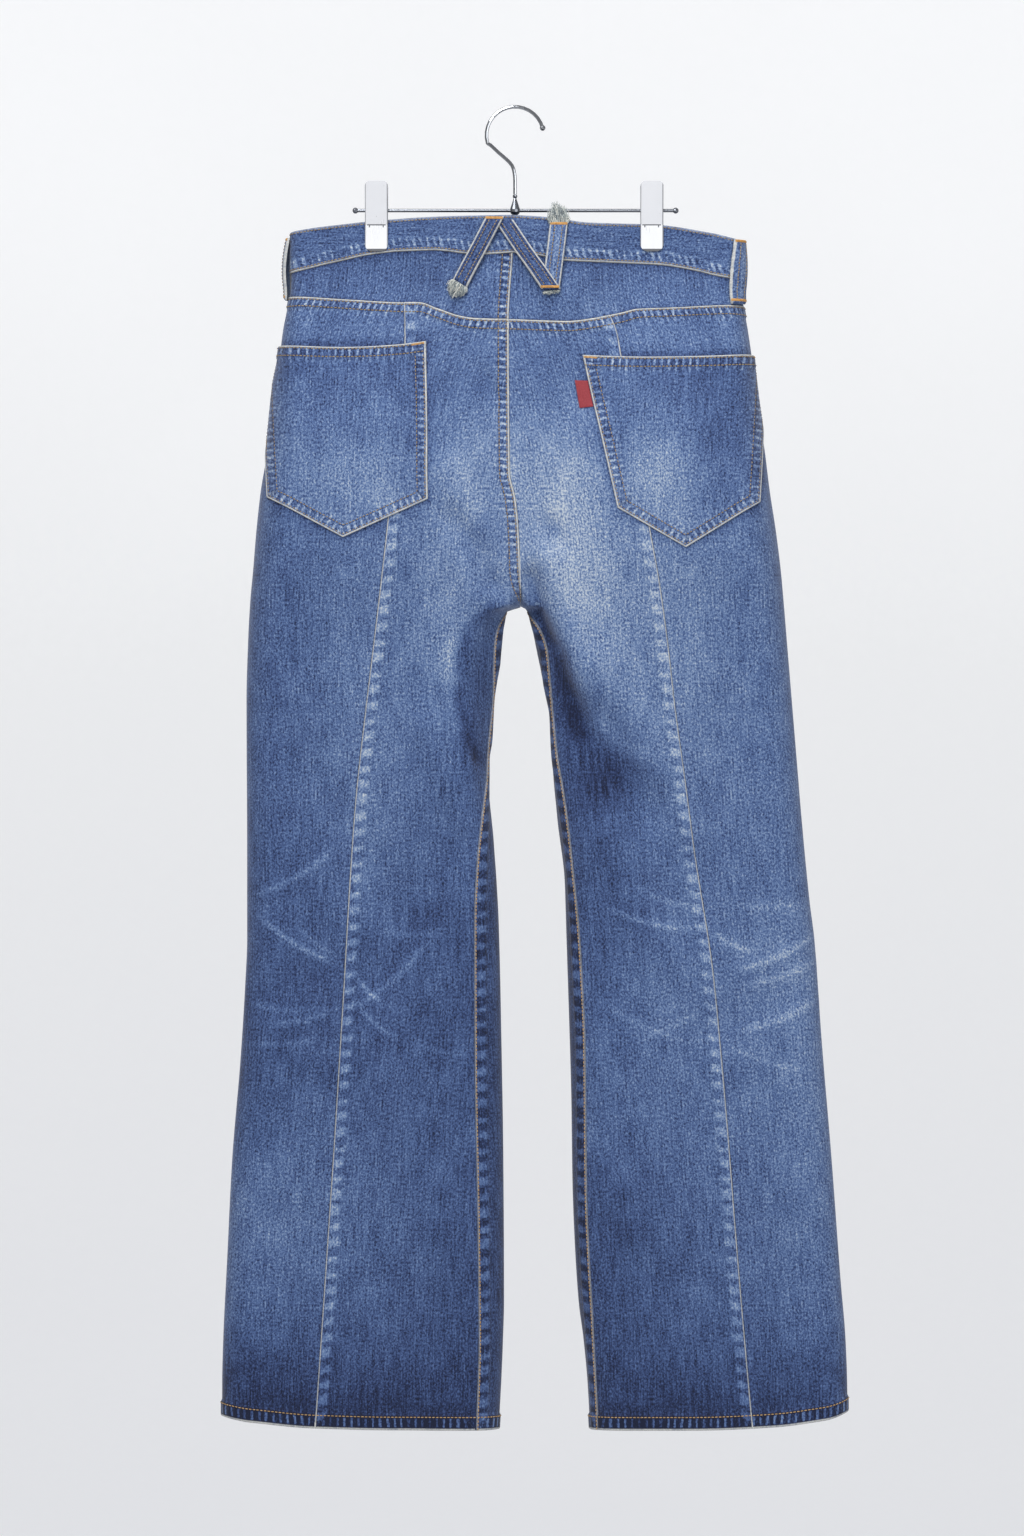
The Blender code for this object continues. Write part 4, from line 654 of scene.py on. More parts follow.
def seam_values(shape, seams):
    """What the nearest seam says at each point: run, distance and seed, and its look."""
    best = np.full(shape, SEAM_FAR)
    along = np.zeros(shape + (3,))
    along[..., 1] = SEAM_FAR
    look = np.zeros(shape + (3,))
    for seed, (distance, run, ladder, pale, teeth) in enumerate(seams):
        near = distance < best
        best = np.where(near, distance, best)
        values = np.stack([run + 0 * distance, distance, 0 * distance + SEAM_SEED * seed], axis=-1)
        along = np.where(near[..., None], values, along)
        kind = np.stack([0 * distance + v for v in (ladder, pale, teeth)], axis=-1)
        look = np.where(near[..., None], kind, look)
    return along, look


def rim(rows, columns):
    """Grid places round a grid's edge, in order."""
    edge = [(0, j) for j in range(columns)]
    edge += [(i, columns - 1) for i in range(1, rows)]
    edge += [(rows - 1, j) for j in range(columns - 2, -1, -1)]
    edge += [(i, 0) for i in range(rows - 2, 0, -1)]
    return edge


def shell(name, inner, outer, values, look, coarse=COARSE, sharp=50):
    """A thin closed wall: a fine outer face, a coarser inner one, and a joined rim.

    values are named point attributes, as grids of numbers or of triples.
    """
    rows, columns = outer.shape[:2]
    keep_rows = sorted({*range(0, rows, coarse), rows - 1})
    keep_columns = sorted({*range(0, columns, coarse), columns - 1})
    fine = np.arange(rows * columns).reshape(rows, columns)
    few = fine.size + np.arange(len(keep_rows) * len(keep_columns)).reshape(
        len(keep_rows), len(keep_columns)
    )
    points = np.concatenate([
        outer.reshape(-1, 3), inner[np.ix_(keep_rows, keep_columns)].reshape(-1, 3)
    ])

    def quads(grid):
        return np.stack([grid[:-1, :-1], grid[:-1, 1:], grid[1:, 1:], grid[1:, :-1]],
                        axis=-1).reshape(-1, 4)

    faces = quads(fine).tolist() + quads(few)[:, ::-1].tolist()
    spot_row = {r: k for k, r in enumerate(keep_rows)}
    spot_column = {c: k for k, c in enumerate(keep_columns)}
    ring = rim(rows, columns)
    last = None
    for (a_row, a_column), (b_row, b_column) in zip(ring, ring[1:] + ring[:1]):
        if last is None:
            last = few[spot_row[a_row], spot_column[a_column]]
        a, b = fine[a_row, a_column], fine[b_row, b_column]
        if b_row in spot_row and b_column in spot_column:
            there = few[spot_row[b_row], spot_column[b_column]]
            faces.append([int(b), int(a), int(last), int(there)])
            last = there
        else:
            faces.append([int(b), int(a), int(last)])
    middle = rows // 2, columns // 2
    a, b, c = outer[middle], outer[middle[0], middle[1] + 1], outer[middle[0] + 1, middle[1]]
    out = outer[middle] - inner[middle]
    if np.dot(np.cross(b - a, c - a), out) > 0:
        faces = [face[::-1] for face in faces]
    mesh = bpy.data.meshes.new(name)
    mesh.from_pydata((points * MM).tolist(), [], faces)
    for key, grid in values.items():
        grid = np.asarray(grid, float)
        part = grid[np.ix_(keep_rows, keep_columns)]
        if key == "inside":
            part = part + 1
        flat = np.concatenate([grid.reshape(rows * columns, -1),
                               part.reshape(len(keep_rows) * len(keep_columns), -1)])
        kind = "FLOAT" if flat.shape[1] == 1 else "FLOAT_VECTOR"
        made = mesh.attributes.new(key, kind, "POINT")
        made.data.foreach_set("value" if kind == "FLOAT" else "vector",
                              flat.astype(np.float32).ravel())
    mesh.shade_smooth()
    mesh.set_sharp_from_angle(angle=math.radians(sharp))
    return add(name, mesh, look)


def link(name, data):
    made = bpy.data.objects.new(name, data)
    bpy.context.scene.collection.objects.link(made)
    return made


def add(name, data, look):
    data.materials.append(look)
    return link(name, data)


def cloth_piece(name, cloth, look, node, warp_across=False):
    """The shell of a cloth grid with its look's attributes."""
    along, seam_look = seam_values(cloth.drops.shape, cloth.seams)
    u, v = cloth.across, cloth.drops
    if warp_across:
        u, v = v, u
    made = shell(name, cloth.inner(), cloth.outer(), {
        "fade": cloth.fade, "along": along, "seam": seam_look, "inside": 0 * cloth.fade,
        "weave": np.stack([u, v, 0 * u], axis=-1),
    }, look)
    return dress(made, node)


def dress(piece, node):
    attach(piece, "root")
    if node:
        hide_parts(node)
    return piece


# Fades, whiskers, painted fold shade and highlights, and small creases, as places on the garment

# The back's tones are its wash's fades with painted shade in them: they drop on the inner thighs
# below the seat, where the folds shade the cloth, and towards the hems, where the light falls off.
BACK_TONE = (
    # drop, left outer, left middle, left inner, right inner, right middle, right outer
    (90, 0.34, 0.35, 0.36, 0.36, 0.34, 0.33),
    (150, 0.34, 0.35, 0.38, 0.38, 0.38, 0.38),
    (185, 0.40, 0.41, 0.40, 0.40, 0.42, 0.41),
    (260, 0.38, 0.40, 0.43, 0.47, 0.42, 0.39),
    (340, 0.37, 0.42, 0.54, 0.62, 0.46, 0.40),
    (420, 0.34, 0.44, 0.50, 0.59, 0.54, 0.42),
    (500, 0.33, 0.45, 0.44, 0.38, 0.53, 0.42),
    (600, 0.33, 0.44, 0.34, 0.27, 0.45, 0.42),
    (700, 0.30, 0.36, 0.31, 0.26, 0.40, 0.42),
    (800, 0.22, 0.28, 0.24, 0.32, 0.42, 0.45),
    (900, 0.27, 0.31, 0.28, 0.37, 0.40, 0.44),
    (1000, 0.42, 0.36, 0.26, 0.24, 0.35, 0.43),
    (1080, 0.35, 0.31, 0.24, 0.24, 0.32, 0.38),
    (1150, 0.14, 0.17, 0.15, 0.16, 0.19, 0.23),
    (1200, -0.04, 0.00, 0.03, 0.01, 0.03, 0.08),
)
FRONT_TONE = (
    # drop, side, middle, inner
    (90, 0.36, 0.40, 0.38), (150, 0.40, 0.48, 0.42), (260, 0.42, 0.60, 0.46),
    (400, 0.40, 0.66, 0.50), (600, 0.38, 0.62, 0.40), (750, 0.38, 0.62, 0.36),
    (900, 0.38, 0.48, 0.34), (1080, 0.32, 0.36, 0.28), (1150, 0.24, 0.27, 0.22),
    (1200, 0.17, 0.19, 0.16),
)
# The paler patches are mostly worn fades, with small painted highlights where the seat's bumps meet
# the light. The darker ones are painted shade in the troughs of the folds and by the crotch.
PATCHES = (
    # x, drop, half width, half height, turn in degrees, how much paler, all on the back
    (-48, 330, 22, 70, 6, 0.07), (-30, 300, 14, 40, 20, 0.04), (-14, 420, 15, 16, -50, 0.06),
    (-66, 455, 24, 60, 0, 0.08), (-60, 258, 26, 26, 0, -0.06), (-30, 252, 8, 12, -40, -0.10),
    (-36, 388, 20, 12, -40, -0.07), (50, 345, 24, 50, -12, 0.10), (42, 364, 9, 9, 0, 0.06),
    (35, 382, 8, 7, 30, -0.12), (66, 440, 30, 60, -18, 0.14), (92, 520, 20, 60, -35, 0.10),
    (30, 240, 22, 40, 0, -0.06), (18, 440, 6, 20, -14, -0.16), (29, 480, 10, 34, -22, -0.22),
    (47, 540, 12, 36, -16, -0.20), (82, 606, 36, 26, -36, -0.16), (-30, 508, 15, 56, 4, -0.20),
    (-34, 585, 14, 30, 0, -0.08), (-190, 640, 60, 60, 0, -0.02), (240, 770, 34, 60, 0, 0.06),
    (-215, 790, 34, 50, 0, 0.05), (-130, 660, 18, 46, 0, 0.05), (-70, 730, 36, 22, 0, -0.05),
    (-62, 790, 40, 24, -14, 0.04), (120, 800, 26, 30, 0, 0.05), (-200, 930, 32, 70, 0, 0.06),
    (262, 900, 26, 70, 0, 0.04),
)
# Whiskers are worn pale lines. The back's wide lines by the crotch, of half width 4.5 and more, are
# painted light: the paler ones are painted highlights on the lit ridges of the folds, and the
# darker ones painted shade along the creases.
WHISKERS_AND_FOLD_SHADING = {
    # x1, drop1, x2, drop2, half width, how much paler
    "back": (
        (-240, 712, -158, 664, 2.5, 0.19), (-232, 726, -158, 772, 2.5, 0.23),
        (-196, 736, -156, 766, 1.9, 0.15), (-222, 826, -158, 810, 2.4, 0.19),
        (-240, 806, -178, 812, 2.2, 0.13), (-236, 842, -176, 838, 2.6, 0.13),
        (-150, 814, -76, 748, 2.6, 0.19), (-140, 786, -120, 806, 2.2, 0.27),
        (-146, 802, -104, 840, 2.2, 0.17), (-92, 842, -40, 852, 2.6, 0.10),
        (-128, 740, -60, 742, 2.8, 0.10), (78, 718, 168, 741, 2.5, 0.19),
        (112, 704, 166, 720, 2.3, 0.13), (180, 744, 214, 760, 2.2, 0.23),
        (194, 778, 268, 746, 2.6, 0.23), (206, 790, 272, 768, 2.3, 0.19),
        (200, 832, 274, 802, 2.8, 0.19), (186, 716, 258, 716, 2.8, 0.11),
        (76, 804, 168, 844, 2.8, 0.11), (108, 838, 168, 812, 2.4, 0.13),
        (196, 846, 262, 866, 2.8, 0.10), (40, 380, 56, 470, 9, 0.06), (54, 462, 72, 545, 9, 0.10),
        (68, 540, 122, 590, 9, 0.10), (-52, 470, -56, 560, 8, 0.08), (-13, 446, -40, 470, 5, -0.14),
        (-40, 470, -49, 516, 5, -0.18), (-49, 516, -44, 561, 5, -0.18),
        (-44, 561, -31, 592, 4.5, -0.14), (-27, 446, -52, 470, 5, 0.10),
        (-52, 470, -62, 520, 6, 0.10), (20, 444, 40, 489, 6, -0.14), (40, 489, 54, 534, 7, -0.15),
        (54, 534, 68, 570, 8, -0.13), (68, 570, 112, 624, 9, -0.05),
    ),
    "front": (
        (-200, 300, -120, 250, 5, 0.10), (-190, 330, -110, 290, 5, 0.10),
        (200, 300, 120, 250, 5, 0.10), (190, 330, 110, 290, 5, 0.10),
        (-190, 700, -90, 720, 5, 0.08), (210, 700, 110, 720, 5, 0.08),
    ),
}
CREASES = (
    # x1, drop1, x2, drop2, half width, height, all on the back
    (-240, 712, -158, 664, 5, 0.7), (-232, 726, -158, 772, 5, 0.8), (-222, 826, -158, 810, 5, 0.6),
    (-150, 814, -76, 748, 6, 0.8), (78, 718, 168, 741, 5, 0.7), (194, 778, 268, 746, 6, 0.9),
    (200, 832, 274, 802, 6, 0.8), (206, 790, 272, 768, 5, 0.6), (-29, 240, -16, 262, 4, -1.4),
    (-50, 610, -34, 640, 6, -1.5), (-14, 442, -42, 474, 5, -1.5), (-40, 466, -50, 520, 6, -1.8),
    (-50, 512, -43, 566, 6, -1.6), (-44, 560, -30, 596, 5, -1.2), (20, 442, 42, 492, 5, -1.6),
    (40, 484, 56, 538, 6, -2.0), (53, 530, 70, 574, 7, -2.0), (66, 566, 114, 626, 8, -2.2),
    (54, 458, 70, 536, 9, 1.6), (68, 532, 88, 572, 8, 1.6), (84, 566, 124, 592, 8, 1.4),
    (-54, 372, -14, 408, 8, -1.2), (-120, 175, -118, 215, 7, 0.8), (100, 170, 104, 210, 7, -0.8),
)


MARK_BEND = 0.06


def line_mark(x, drop, line, half_width):
    """1 along a slightly bent line, fading beside it and at its ends."""
    forward, across, length = beside_line(x, drop, *line)
    across = across - MARK_BEND * length * np.sin(math.pi * np.clip(forward / length, 0, 1))
    ends = smooth_step(forward, -4, 0.22 * length) * (
        1 - smooth_step(forward, 0.78 * length, length + 4))
    return np.exp(-((across / half_width) ** 2)) * ends


def back_weight(shares):
    """How far a share counts as the back, blended round the side fold."""
    return smooth_step(shares, -0.10, 0.06)


def relief(x, drop, shares):
    """The small creases' height on the back."""
    height = np.zeros(x.shape)
    for *line, half_width, rise in CREASES:
        height += rise * line_mark(x, drop, line, half_width) * back_weight(shares)
    return height


def over_face(share, side, middle, inner):
    """A tone over one face, from its side fold by its middle to its inner edge."""
    return np.where(
        share < 0.5, side + (middle - side) * smooth_step(share, 0.12, 0.5),
        middle + (inner - middle) * smooth_step(share, 0.5, 0.86),
    )


def tone(half, x, drop, shares):
    """How faded the cloth is, with painted fold shade and highlights added: 0 is dark indigo and 1
    is nearly white.
    """
    shares = np.where(shares < -1, 1.0, shares)
    columns = (1, 2, 3) if half is LEFT else (6, 5, 4)
    back = over_face(np.clip(shares, 0, 1), *(curve(BACK_TONE, c)(drop) for c in columns))
    front = over_face(np.clip(-shares, 0, 1), *(curve(FRONT_TONE, c)(drop) for c in (1, 2, 3)))
    for px, pdrop, wide, tall, turn, paler in PATCHES:
        angle = math.radians(turn)
        dx, dd = x - px, drop - pdrop
        a = dx * math.cos(angle) + dd * math.sin(angle)
        b = -dx * math.sin(angle) + dd * math.cos(angle)
        back = back + paler * np.exp(-((a / wide) ** 2) - (b / tall) ** 2)
    for *line, half_width, paler in WHISKERS_AND_FOLD_SHADING["back"]:
        back = back + paler * line_mark(x, drop, line, half_width)
    for *line, half_width, paler in WHISKERS_AND_FOLD_SHADING["front"]:
        front = front + paler * line_mark(x, drop, line, half_width)
    weight = back_weight(shares)
    return back * weight + front * (1 - weight)


# Stitches

STITCH_PITCH = 3.3
STITCH_LENGTH = 2.6
STITCH_RADIUS = 0.5
STITCH_SIDES = 5
STITCH_SINK = 0.34
STITCH_RINGS = (
    # share of its length from the middle, share of its radius
    (-0.5, 0.35), (-0.36, 0.95), (0.0, 1.0), (0.36, 0.95), (0.5, 0.35),
)
THREAD_LIFT = 0.15
HEM_STITCH = 12.0


def resample(points, normals, pitch):
    """Even places along a line, with tangents and normals."""
    steps = np.linalg.norm(np.diff(points, axis=0), axis=1)
    reach = np.concatenate([[0], np.cumsum(steps)])
    count = max(1, int(reach[-1] / pitch))
    spots = (np.arange(count) + 0.5) * reach[-1] / count

    def at(values, where):
        return np.stack([np.interp(where, reach, values[:, a]) for a in range(3)], axis=1)

    here, facing = at(points, spots), at(normals, spots)
    tangent = at(points, spots + 0.6) - at(points, spots - 0.6)
    tangent /= np.linalg.norm(tangent, axis=1, keepdims=True) + 1e-9
    facing = facing - tangent * np.sum(facing * tangent, axis=1, keepdims=True)
    facing /= np.linalg.norm(facing, axis=1, keepdims=True) + 1e-9
    return here, tangent, facing


def tube_faces(count, rings, sides):
    """Faces of closed tubes whose points run ring by ring, tube after tube."""
    starts = (np.arange(count) * rings * sides)[:, None, None]
    walls = [(i * sides + k, i * sides + (k + 1) % sides,
              (i + 1) * sides + (k + 1) % sides, (i + 1) * sides + k)
             for i in range(rings - 1) for k in range(sides)]
    ends = [range(sides)[::-1], range((rings - 1) * sides, rings * sides)]
    return [face for some in (walls, ends)
            for face in (np.array(some)[None] + starts).reshape(-1, len(some[0])).tolist()]


def capsules(here, tangent, facing, length, radius):
    """Points of small threads, each along its tangent with both ends dipping in."""
    side = np.cross(tangent, facing)
    points = []
    for t, swell in STITCH_RINGS:
        middle = here + tangent * (t * length) - facing * (STITCH_SINK * (2 * t) ** 2)
        for turn in np.arange(STITCH_SIDES) * 2 * math.pi / STITCH_SIDES:
            points.append(middle + radius * swell * (
                side * math.cos(turn) + facing * math.sin(turn)))
    return np.array(points).transpose(1, 0, 2).reshape(-1, 3)


def thread_mesh(name, points, faces):
    mesh = bpy.data.meshes.new(name)
    mesh.from_pydata((points * MM).tolist(), [], faces)
    mesh.shade_smooth()
    return mesh


def sew(name, lines, look, across=False, pitch=STITCH_PITCH, length=STITCH_LENGTH,
        radius=STITCH_RADIUS):
    """One piece of stitches along lines of points and normals."""
    here, tangent, facing = (np.concatenate(part) for part in zip(*(
        resample(*line, pitch) for line in lines)))
    if across:
        tangent = np.cross(tangent, facing)
    points = capsules(here, tangent, facing, length, radius)
    mesh = thread_mesh(name, points, tube_faces(len(here), len(STITCH_RINGS), STITCH_SIDES))
    return dress(add(name, mesh, look), None)


# Materials

RAMP = (
    # place, red, green, blue as 0 to 255 screen values
    (0.0, 20, 29, 56), (0.15, 40, 56, 97), (0.35, 73, 96, 144), (0.5, 96, 122, 168),
    (0.65, 128, 151, 188), (0.8, 159, 176, 201), (1.0, 206, 214, 221),
)
EXPOSURE = 0.56


def linear(screen):
    value = screen / 255
    return value / 12.92 if value <= 0.04045 else ((value + 0.055) / 1.055) ** 2.4


class Look:
    """A material and short calls for its nodes."""

    def __init__(self, name, roughness, metallic=0.0):
        self.material = bpy.data.materials.new(name)
        self.material.use_nodes = True
        self.tree = self.material.node_tree
        self.shader = self.tree.nodes["Principled BSDF"]
        self.shader.inputs["Roughness"].default_value = roughness
        self.shader.inputs["Metallic"].default_value = metallic

    def place(self):
        """Places on the object, in metres."""
        return self.tree.nodes.new("ShaderNodeTexCoord").outputs["Object"]

    def put(self, socket, value):
        if isinstance(value, bpy.types.NodeSocket):
            self.tree.links.new(value, socket)
        else:
            socket.default_value = value

    def math(self, operation, *values):
        node = self.tree.nodes.new("ShaderNodeMath")
        node.operation = operation
        for socket, value in zip(node.inputs, values):
            self.put(socket, value)
        return node.outputs[0]

    def add(self, *values):
        total = values[0]
        for value in values[1:]:
            total = self.math("ADD", total, value)
        return total

    def times(self, *values):
        total = values[0]
        for value in values[1:]:
            total = self.math("MULTIPLY", total, value)
        return total

    def less(self, a, b):
        return self.math("SUBTRACT", a, b)

    def step(self, value, low, high):
        node = self.tree.nodes.new("ShaderNodeMapRange")
        node.interpolation_type = "SMOOTHSTEP"
        self.put(node.inputs["Value"], value)
        node.inputs["From Min"].default_value = low
        node.inputs["From Max"].default_value = high
        return node.outputs["Result"]

    def fall(self, value, low, high):
        """1 up to low, falling to 0 at high."""
        return self.less(1.0, self.step(value, low, high))

    def window(self, value, low, full, fade, high):
        """1 from full to fade, and 0 below low and above high."""
        return self.times(self.step(value, low, full), self.fall(value, fade, high))

    def near(self, value, middle, full, none):
        """1 within one distance of a middle, falling to 0 at another."""
        return self.fall(self.math("ABSOLUTE", self.less(value, middle)), full, none)

    def mix(self, share, a, b):
        """Numbers a to b by a share."""
        return self.add(a, self.times(self.less(b, a), share))

    def vector(self, x, y, z=0.0):
        node = self.tree.nodes.new("ShaderNodeCombineXYZ")
        for socket, value in zip(node.inputs, (x, y, z)):
            self.put(socket, value)
        return node.outputs[0]

    def split(self, vector):
        node = self.tree.nodes.new("ShaderNodeSeparateXYZ")
        self.put(node.inputs[0], vector)
        return node.outputs

    def attribute(self, name, output="Vector"):
        node = self.tree.nodes.new("ShaderNodeAttribute")
        node.attribute_name = name
        return node.outputs[output]

    def noise(self, vector, scale=1.0, detail=2.0, roughness=0.5):
        """A noise that spreads round zero."""
        node = self.tree.nodes.new("ShaderNodeTexNoise")
        self.put(node.inputs["Vector"], vector)
        node.inputs["Scale"].default_value = scale
        node.inputs["Detail"].default_value = detail
        node.inputs["Roughness"].default_value = roughness
        return self.less(node.outputs["Fac"], 0.5)

    def ramp(self, value, stops, exposure=1.0):
        node = self.tree.nodes.new("ShaderNodeValToRGB")
        elements = node.color_ramp.elements
        while len(elements) < len(stops):
            elements.new(0.5)
        for element, (place, *colour) in zip(elements, stops):
            element.position = place
            element.color = (*(linear(c) * exposure for c in colour), 1)
        self.put(node.inputs["Fac"], value)
        return node.outputs["Color"]

    def blend(self, share, a, b):
        """Colour a to b by a share."""
        node = self.tree.nodes.new("ShaderNodeMix")
        node.data_type = "RGBA"
        self.put(node.inputs["Factor"], share)
        self.put(node.inputs["A"], a)
        self.put(node.inputs["B"], b)
        return node.outputs["Result"]

    def colour(self, value):
        self.put(self.shader.inputs["Base Color"], value)

    def bump(self, height, strength, distance):
        node = self.tree.nodes.new("ShaderNodeBump")
        node.inputs["Strength"].default_value = strength
        node.inputs["Distance"].default_value = distance
        self.put(node.inputs["Height"], height)
        self.put(self.shader.inputs["Normal"], node.outputs["Normal"])


LADDER_PITCH = 6.4


def denim_look():
    """Washed twill: heather grain, slubs, faded ridges, roped seams, worn edges and painted shade
    in the stitched grooves.
    """
    look = Look("washed_denim", 0.9)
    look.shader.inputs["Specular IOR Level"].default_value = 0.18
    look.shader.inputs["Sheen Weight"].default_value = 0.12
    look.shader.inputs["Sheen Roughness"].default_value = 0.5
    u, v, _ = look.split(look.attribute("weave"))
    run, edge, seed = look.split(look.attribute("along"))
    ladder, pale, teeth = look.split(look.attribute("seam"))
    # fade holds the cloth's worn tone, and also the shade and highlights painted into it by the
    # folds, the pocket edges, the yoke's edges and the strip by the inseam.
    fade = look.attribute("fade", "Fac")
    inside = look.attribute("inside", "Fac")
    # Grain, with u and v in millimetres over and down the cloth
    heather = look.noise(look.vector(look.times(u, 0.60), look.times(v, 0.44)), 1.0, 3.0, 0.75)
    streak = look.noise(look.vector(look.times(u, 0.70), look.times(v, 0.035)), 1.0, 2.0, 0.6)
    slub = look.noise(look.vector(look.times(u, 0.16), look.times(v, 0.012), 4.0), 1.0, 2.0)
    mottle = look.noise(look.vector(look.times(u, 0.045), look.times(v, 0.035), 9.0), 1.0, 3.0)
    twill = look.math("SINE", look.add(look.times(u, 4.9), look.times(v, 2.5)))
    # A wave along the seams, whose crests are the ladder marks
    wander = look.noise(look.vector(look.times(run, 0.075), look.times(edge, 0.04), seed),
                        1.0, 2.0)
    rope = look.math("MAXIMUM", look.times(ladder, -1.0), 0.0)
    coarse = look.step(ladder, 1.05, 1.15)
    slower = look.less(1.0, look.times(coarse, 0.55))
    phase = look.add(look.times(run, slower, 2 * math.pi / LADDER_PITCH),
                     look.times(wander, 4.5),
                     look.times(edge, look.add(0.07, look.times(rope, 0.24))), seed)
    wave = look.add(look.times(look.math("SINE", phase), 0.5), 0.5)
    rough_wave = look.add(wave, look.times(heather, 0.5))
    bars = look.step(rough_wave, 0.52, 0.98)
    patchy = look.step(
        look.noise(look.vector(look.times(run, 0.045), 3.0, seed), 1.0, 1.0), -0.16, 0.10)
    bars = look.times(bars, look.add(look.times(patchy, 0.6), 0.4))
    # Broad strips by the long seams
    ladder = look.math("MAXIMUM", ladder, 0.0)
    broad = look.times(coarse, look.less(ladder, 1.2))
    ladder = look.times(ladder, look.less(1.0, coarse))
    broad_zone = look.times(look.step(edge, 1.0, 2.4), look.fall(
        look.add(edge, look.times(wander, 5.0)), 8.6, 12.4))
    broad_blots = look.step(look.add(wave, look.times(heather, 0.7), look.times(wander, 1.6)),
                            0.05, 0.95)
    # Slanted marks and a worn ridge along the waistband
    rope_zone = look.window(edge, 2.4, 5.0, 10.0, 14.0)
    blots = look.step(look.add(wave, look.times(heather, 0.9), look.times(wander, 2.2)), 0.45, 1.05)
    ridge = look.near(look.add(edge, look.times(wander, 8.0)), 10.5, 0.4, 2.2)
    # How far in from a seam its marks, strip, fringe, worn fold and groove reach
    band = look.window(edge, 1.5, 2.9, 7.6, 9.4)
    strip = look.window(edge, 0.8, 1.8, 9.2, 10.6)
    fringe = look.window(edge, 9.4, 10.8, 12.0, 16.5)
    fold_edge = look.fall(look.add(edge, look.times(coarse, 0.45)), 1.0, 1.8)
    # Painted shade: a dark line along the groove where the cloth dips at the farther row of
    # stitches.
    groove = look.near(edge, 9.2, 0.3, 1.3)
    total = look.add(
        fade, look.times(heather, 2.05, look.add(0.42, look.times(fade, 1.1))),
        look.times(streak, 0.55), look.times(slub, 0.14), look.times(mottle, 0.26),
        look.times(twill, 0.02),
        look.times(ladder, band, bars, 0.50), look.times(ladder, strip, -0.12),
        look.times(ladder, groove, -0.10),
        look.times(broad, broad_zone, look.add(look.times(broad_blots, 0.38), -0.15,
                                               look.times(teeth, 0.6))),
        look.times(rope, rope_zone, look.less(look.times(blots, 0.34), 0.06)),
        look.times(rope, ridge, patchy, 0.16),
        look.times(teeth, look.less(1.0, coarse), fringe, look.less(look.times(bars, 0.30), 0.02)),
    )
    total = look.mix(look.times(inside, 0.85), total, look.add(0.66, look.times(heather, 0.6)))
    worn = look.ramp(look.add(0.5, look.times(heather, 1.5), look.times(wander, 0.8)),
                     ((0.0, 128, 140, 162), (0.5, 204, 205, 202), (1.0, 236, 234, 228)),
                     EXPOSURE)
    look.colour(look.blend(look.times(fold_edge, pale), look.ramp(total, RAMP, EXPOSURE), worn))
    height = look.add(
        look.times(heather, 0.5), look.times(streak, 0.3), look.times(twill, 0.12),
        look.times(ladder, strip, wave, 1.6), look.times(teeth, fringe, wave, 1.0),
    )
    look.bump(height, 0.55, 0.00045)
    return look.material


THREAD_SPREAD = 0.25


def thread_look(name, screen):
    """Twisted cotton thread, its colour worn unevenly."""
    look = Look(name, 0.75)
    where = look.place()
    worn = look.noise(where, 420.0, 2.0)
    twist = look.noise(where, 2600.0, 1.0)
    dark = [c * (1 - THREAD_SPREAD) for c in screen]
    light = [min(255, c + (255 - c) * THREAD_SPREAD) for c in screen]
    look.colour(look.ramp(look.add(0.5, look.times(worn, 1.6), look.times(twist, 0.5)),
                          ((0.0, *dark), (0.5, *screen), (1.0, *light)), EXPOSURE))
    look.bump(twist, 0.4, 0.0002)
    return look.material


def tuft_look():
    """Frayed cotton, each strand its own tone from blue-grey to cream."""
    look = Look("frayed_cotton", 0.85)
    strand = look.attribute("strand", "Fac")
    where = look.place()
    worn = look.noise(where, 700.0, 2.0)
    look.colour(look.ramp(look.add(strand, look.times(worn, 0.9)),
                          ((0.0, 84, 98, 112), (0.4, 158, 170, 174), (0.7, 214, 219, 214),
                           (1.0, 244, 243, 232)), 0.62))
    look.bump(worn, 0.5, 0.0003)
    return look.material


METAL_SCRATCH = 0.10


def metal_look(name, screen, roughness):
    """Plated steel, with faint brushed lines that change its gloss."""
    look = Look(name, roughness, 1.0)
    where = look.place()
    x, y, z = look.split(where)
    brushed = look.noise(look.vector(look.times(x, 900.0), look.times(y, 900.0),
                                     look.times(z, 60.0)), 1.0, 2.0)
    cloudy = look.noise(where, 60.0, 2.0)
    value = look.add(0.5, look.times(brushed, 0.5), look.times(cloudy, 0.8))
    look.colour(look.ramp(value, ((0.0, *(c * 0.86 for c in screen)), (1.0, *screen))))
    look.put(look.shader.inputs["Roughness"],
             look.add(roughness, look.times(brushed, METAL_SCRATCH),
                      look.times(cloudy, METAL_SCRATCH)))
    look.bump(brushed, 0.08, 0.0001)
    return look


# The clips' painted shade, in metres: a dark hinge line, two notches, the folded lip and
# the side rims, shaded where the plates part and curl, and a slightly greyer upper lever.
# Those of three numbers are their middle, how far from it they stay dark, and where they
# end. Those of two are where a mark starts and is full, or stays full and ends
CLIP_LEFT_OFF = 0.0009
CLIP_MIDDLE = 0.1242
CLIP_HINGE_SHADE = (-0.1052, 0.0003, 0.0007)
CLIP_HINGE_SHADE_END = (0.0080, 0.0088)
CLIP_NOTCH_SHADE = (-0.1064, 0.0008, 0.0012)
CLIP_NOTCH_SHADE_ASIDE = (0.0062, 0.0003, 0.0007)
CLIP_LIP_SHADE = (-0.1270, -0.1264)
CLIP_RIM_SHADE = (0.0092, 0.0099)
CLIP_UPPER_SHADE = (-0.1056, -0.1050)


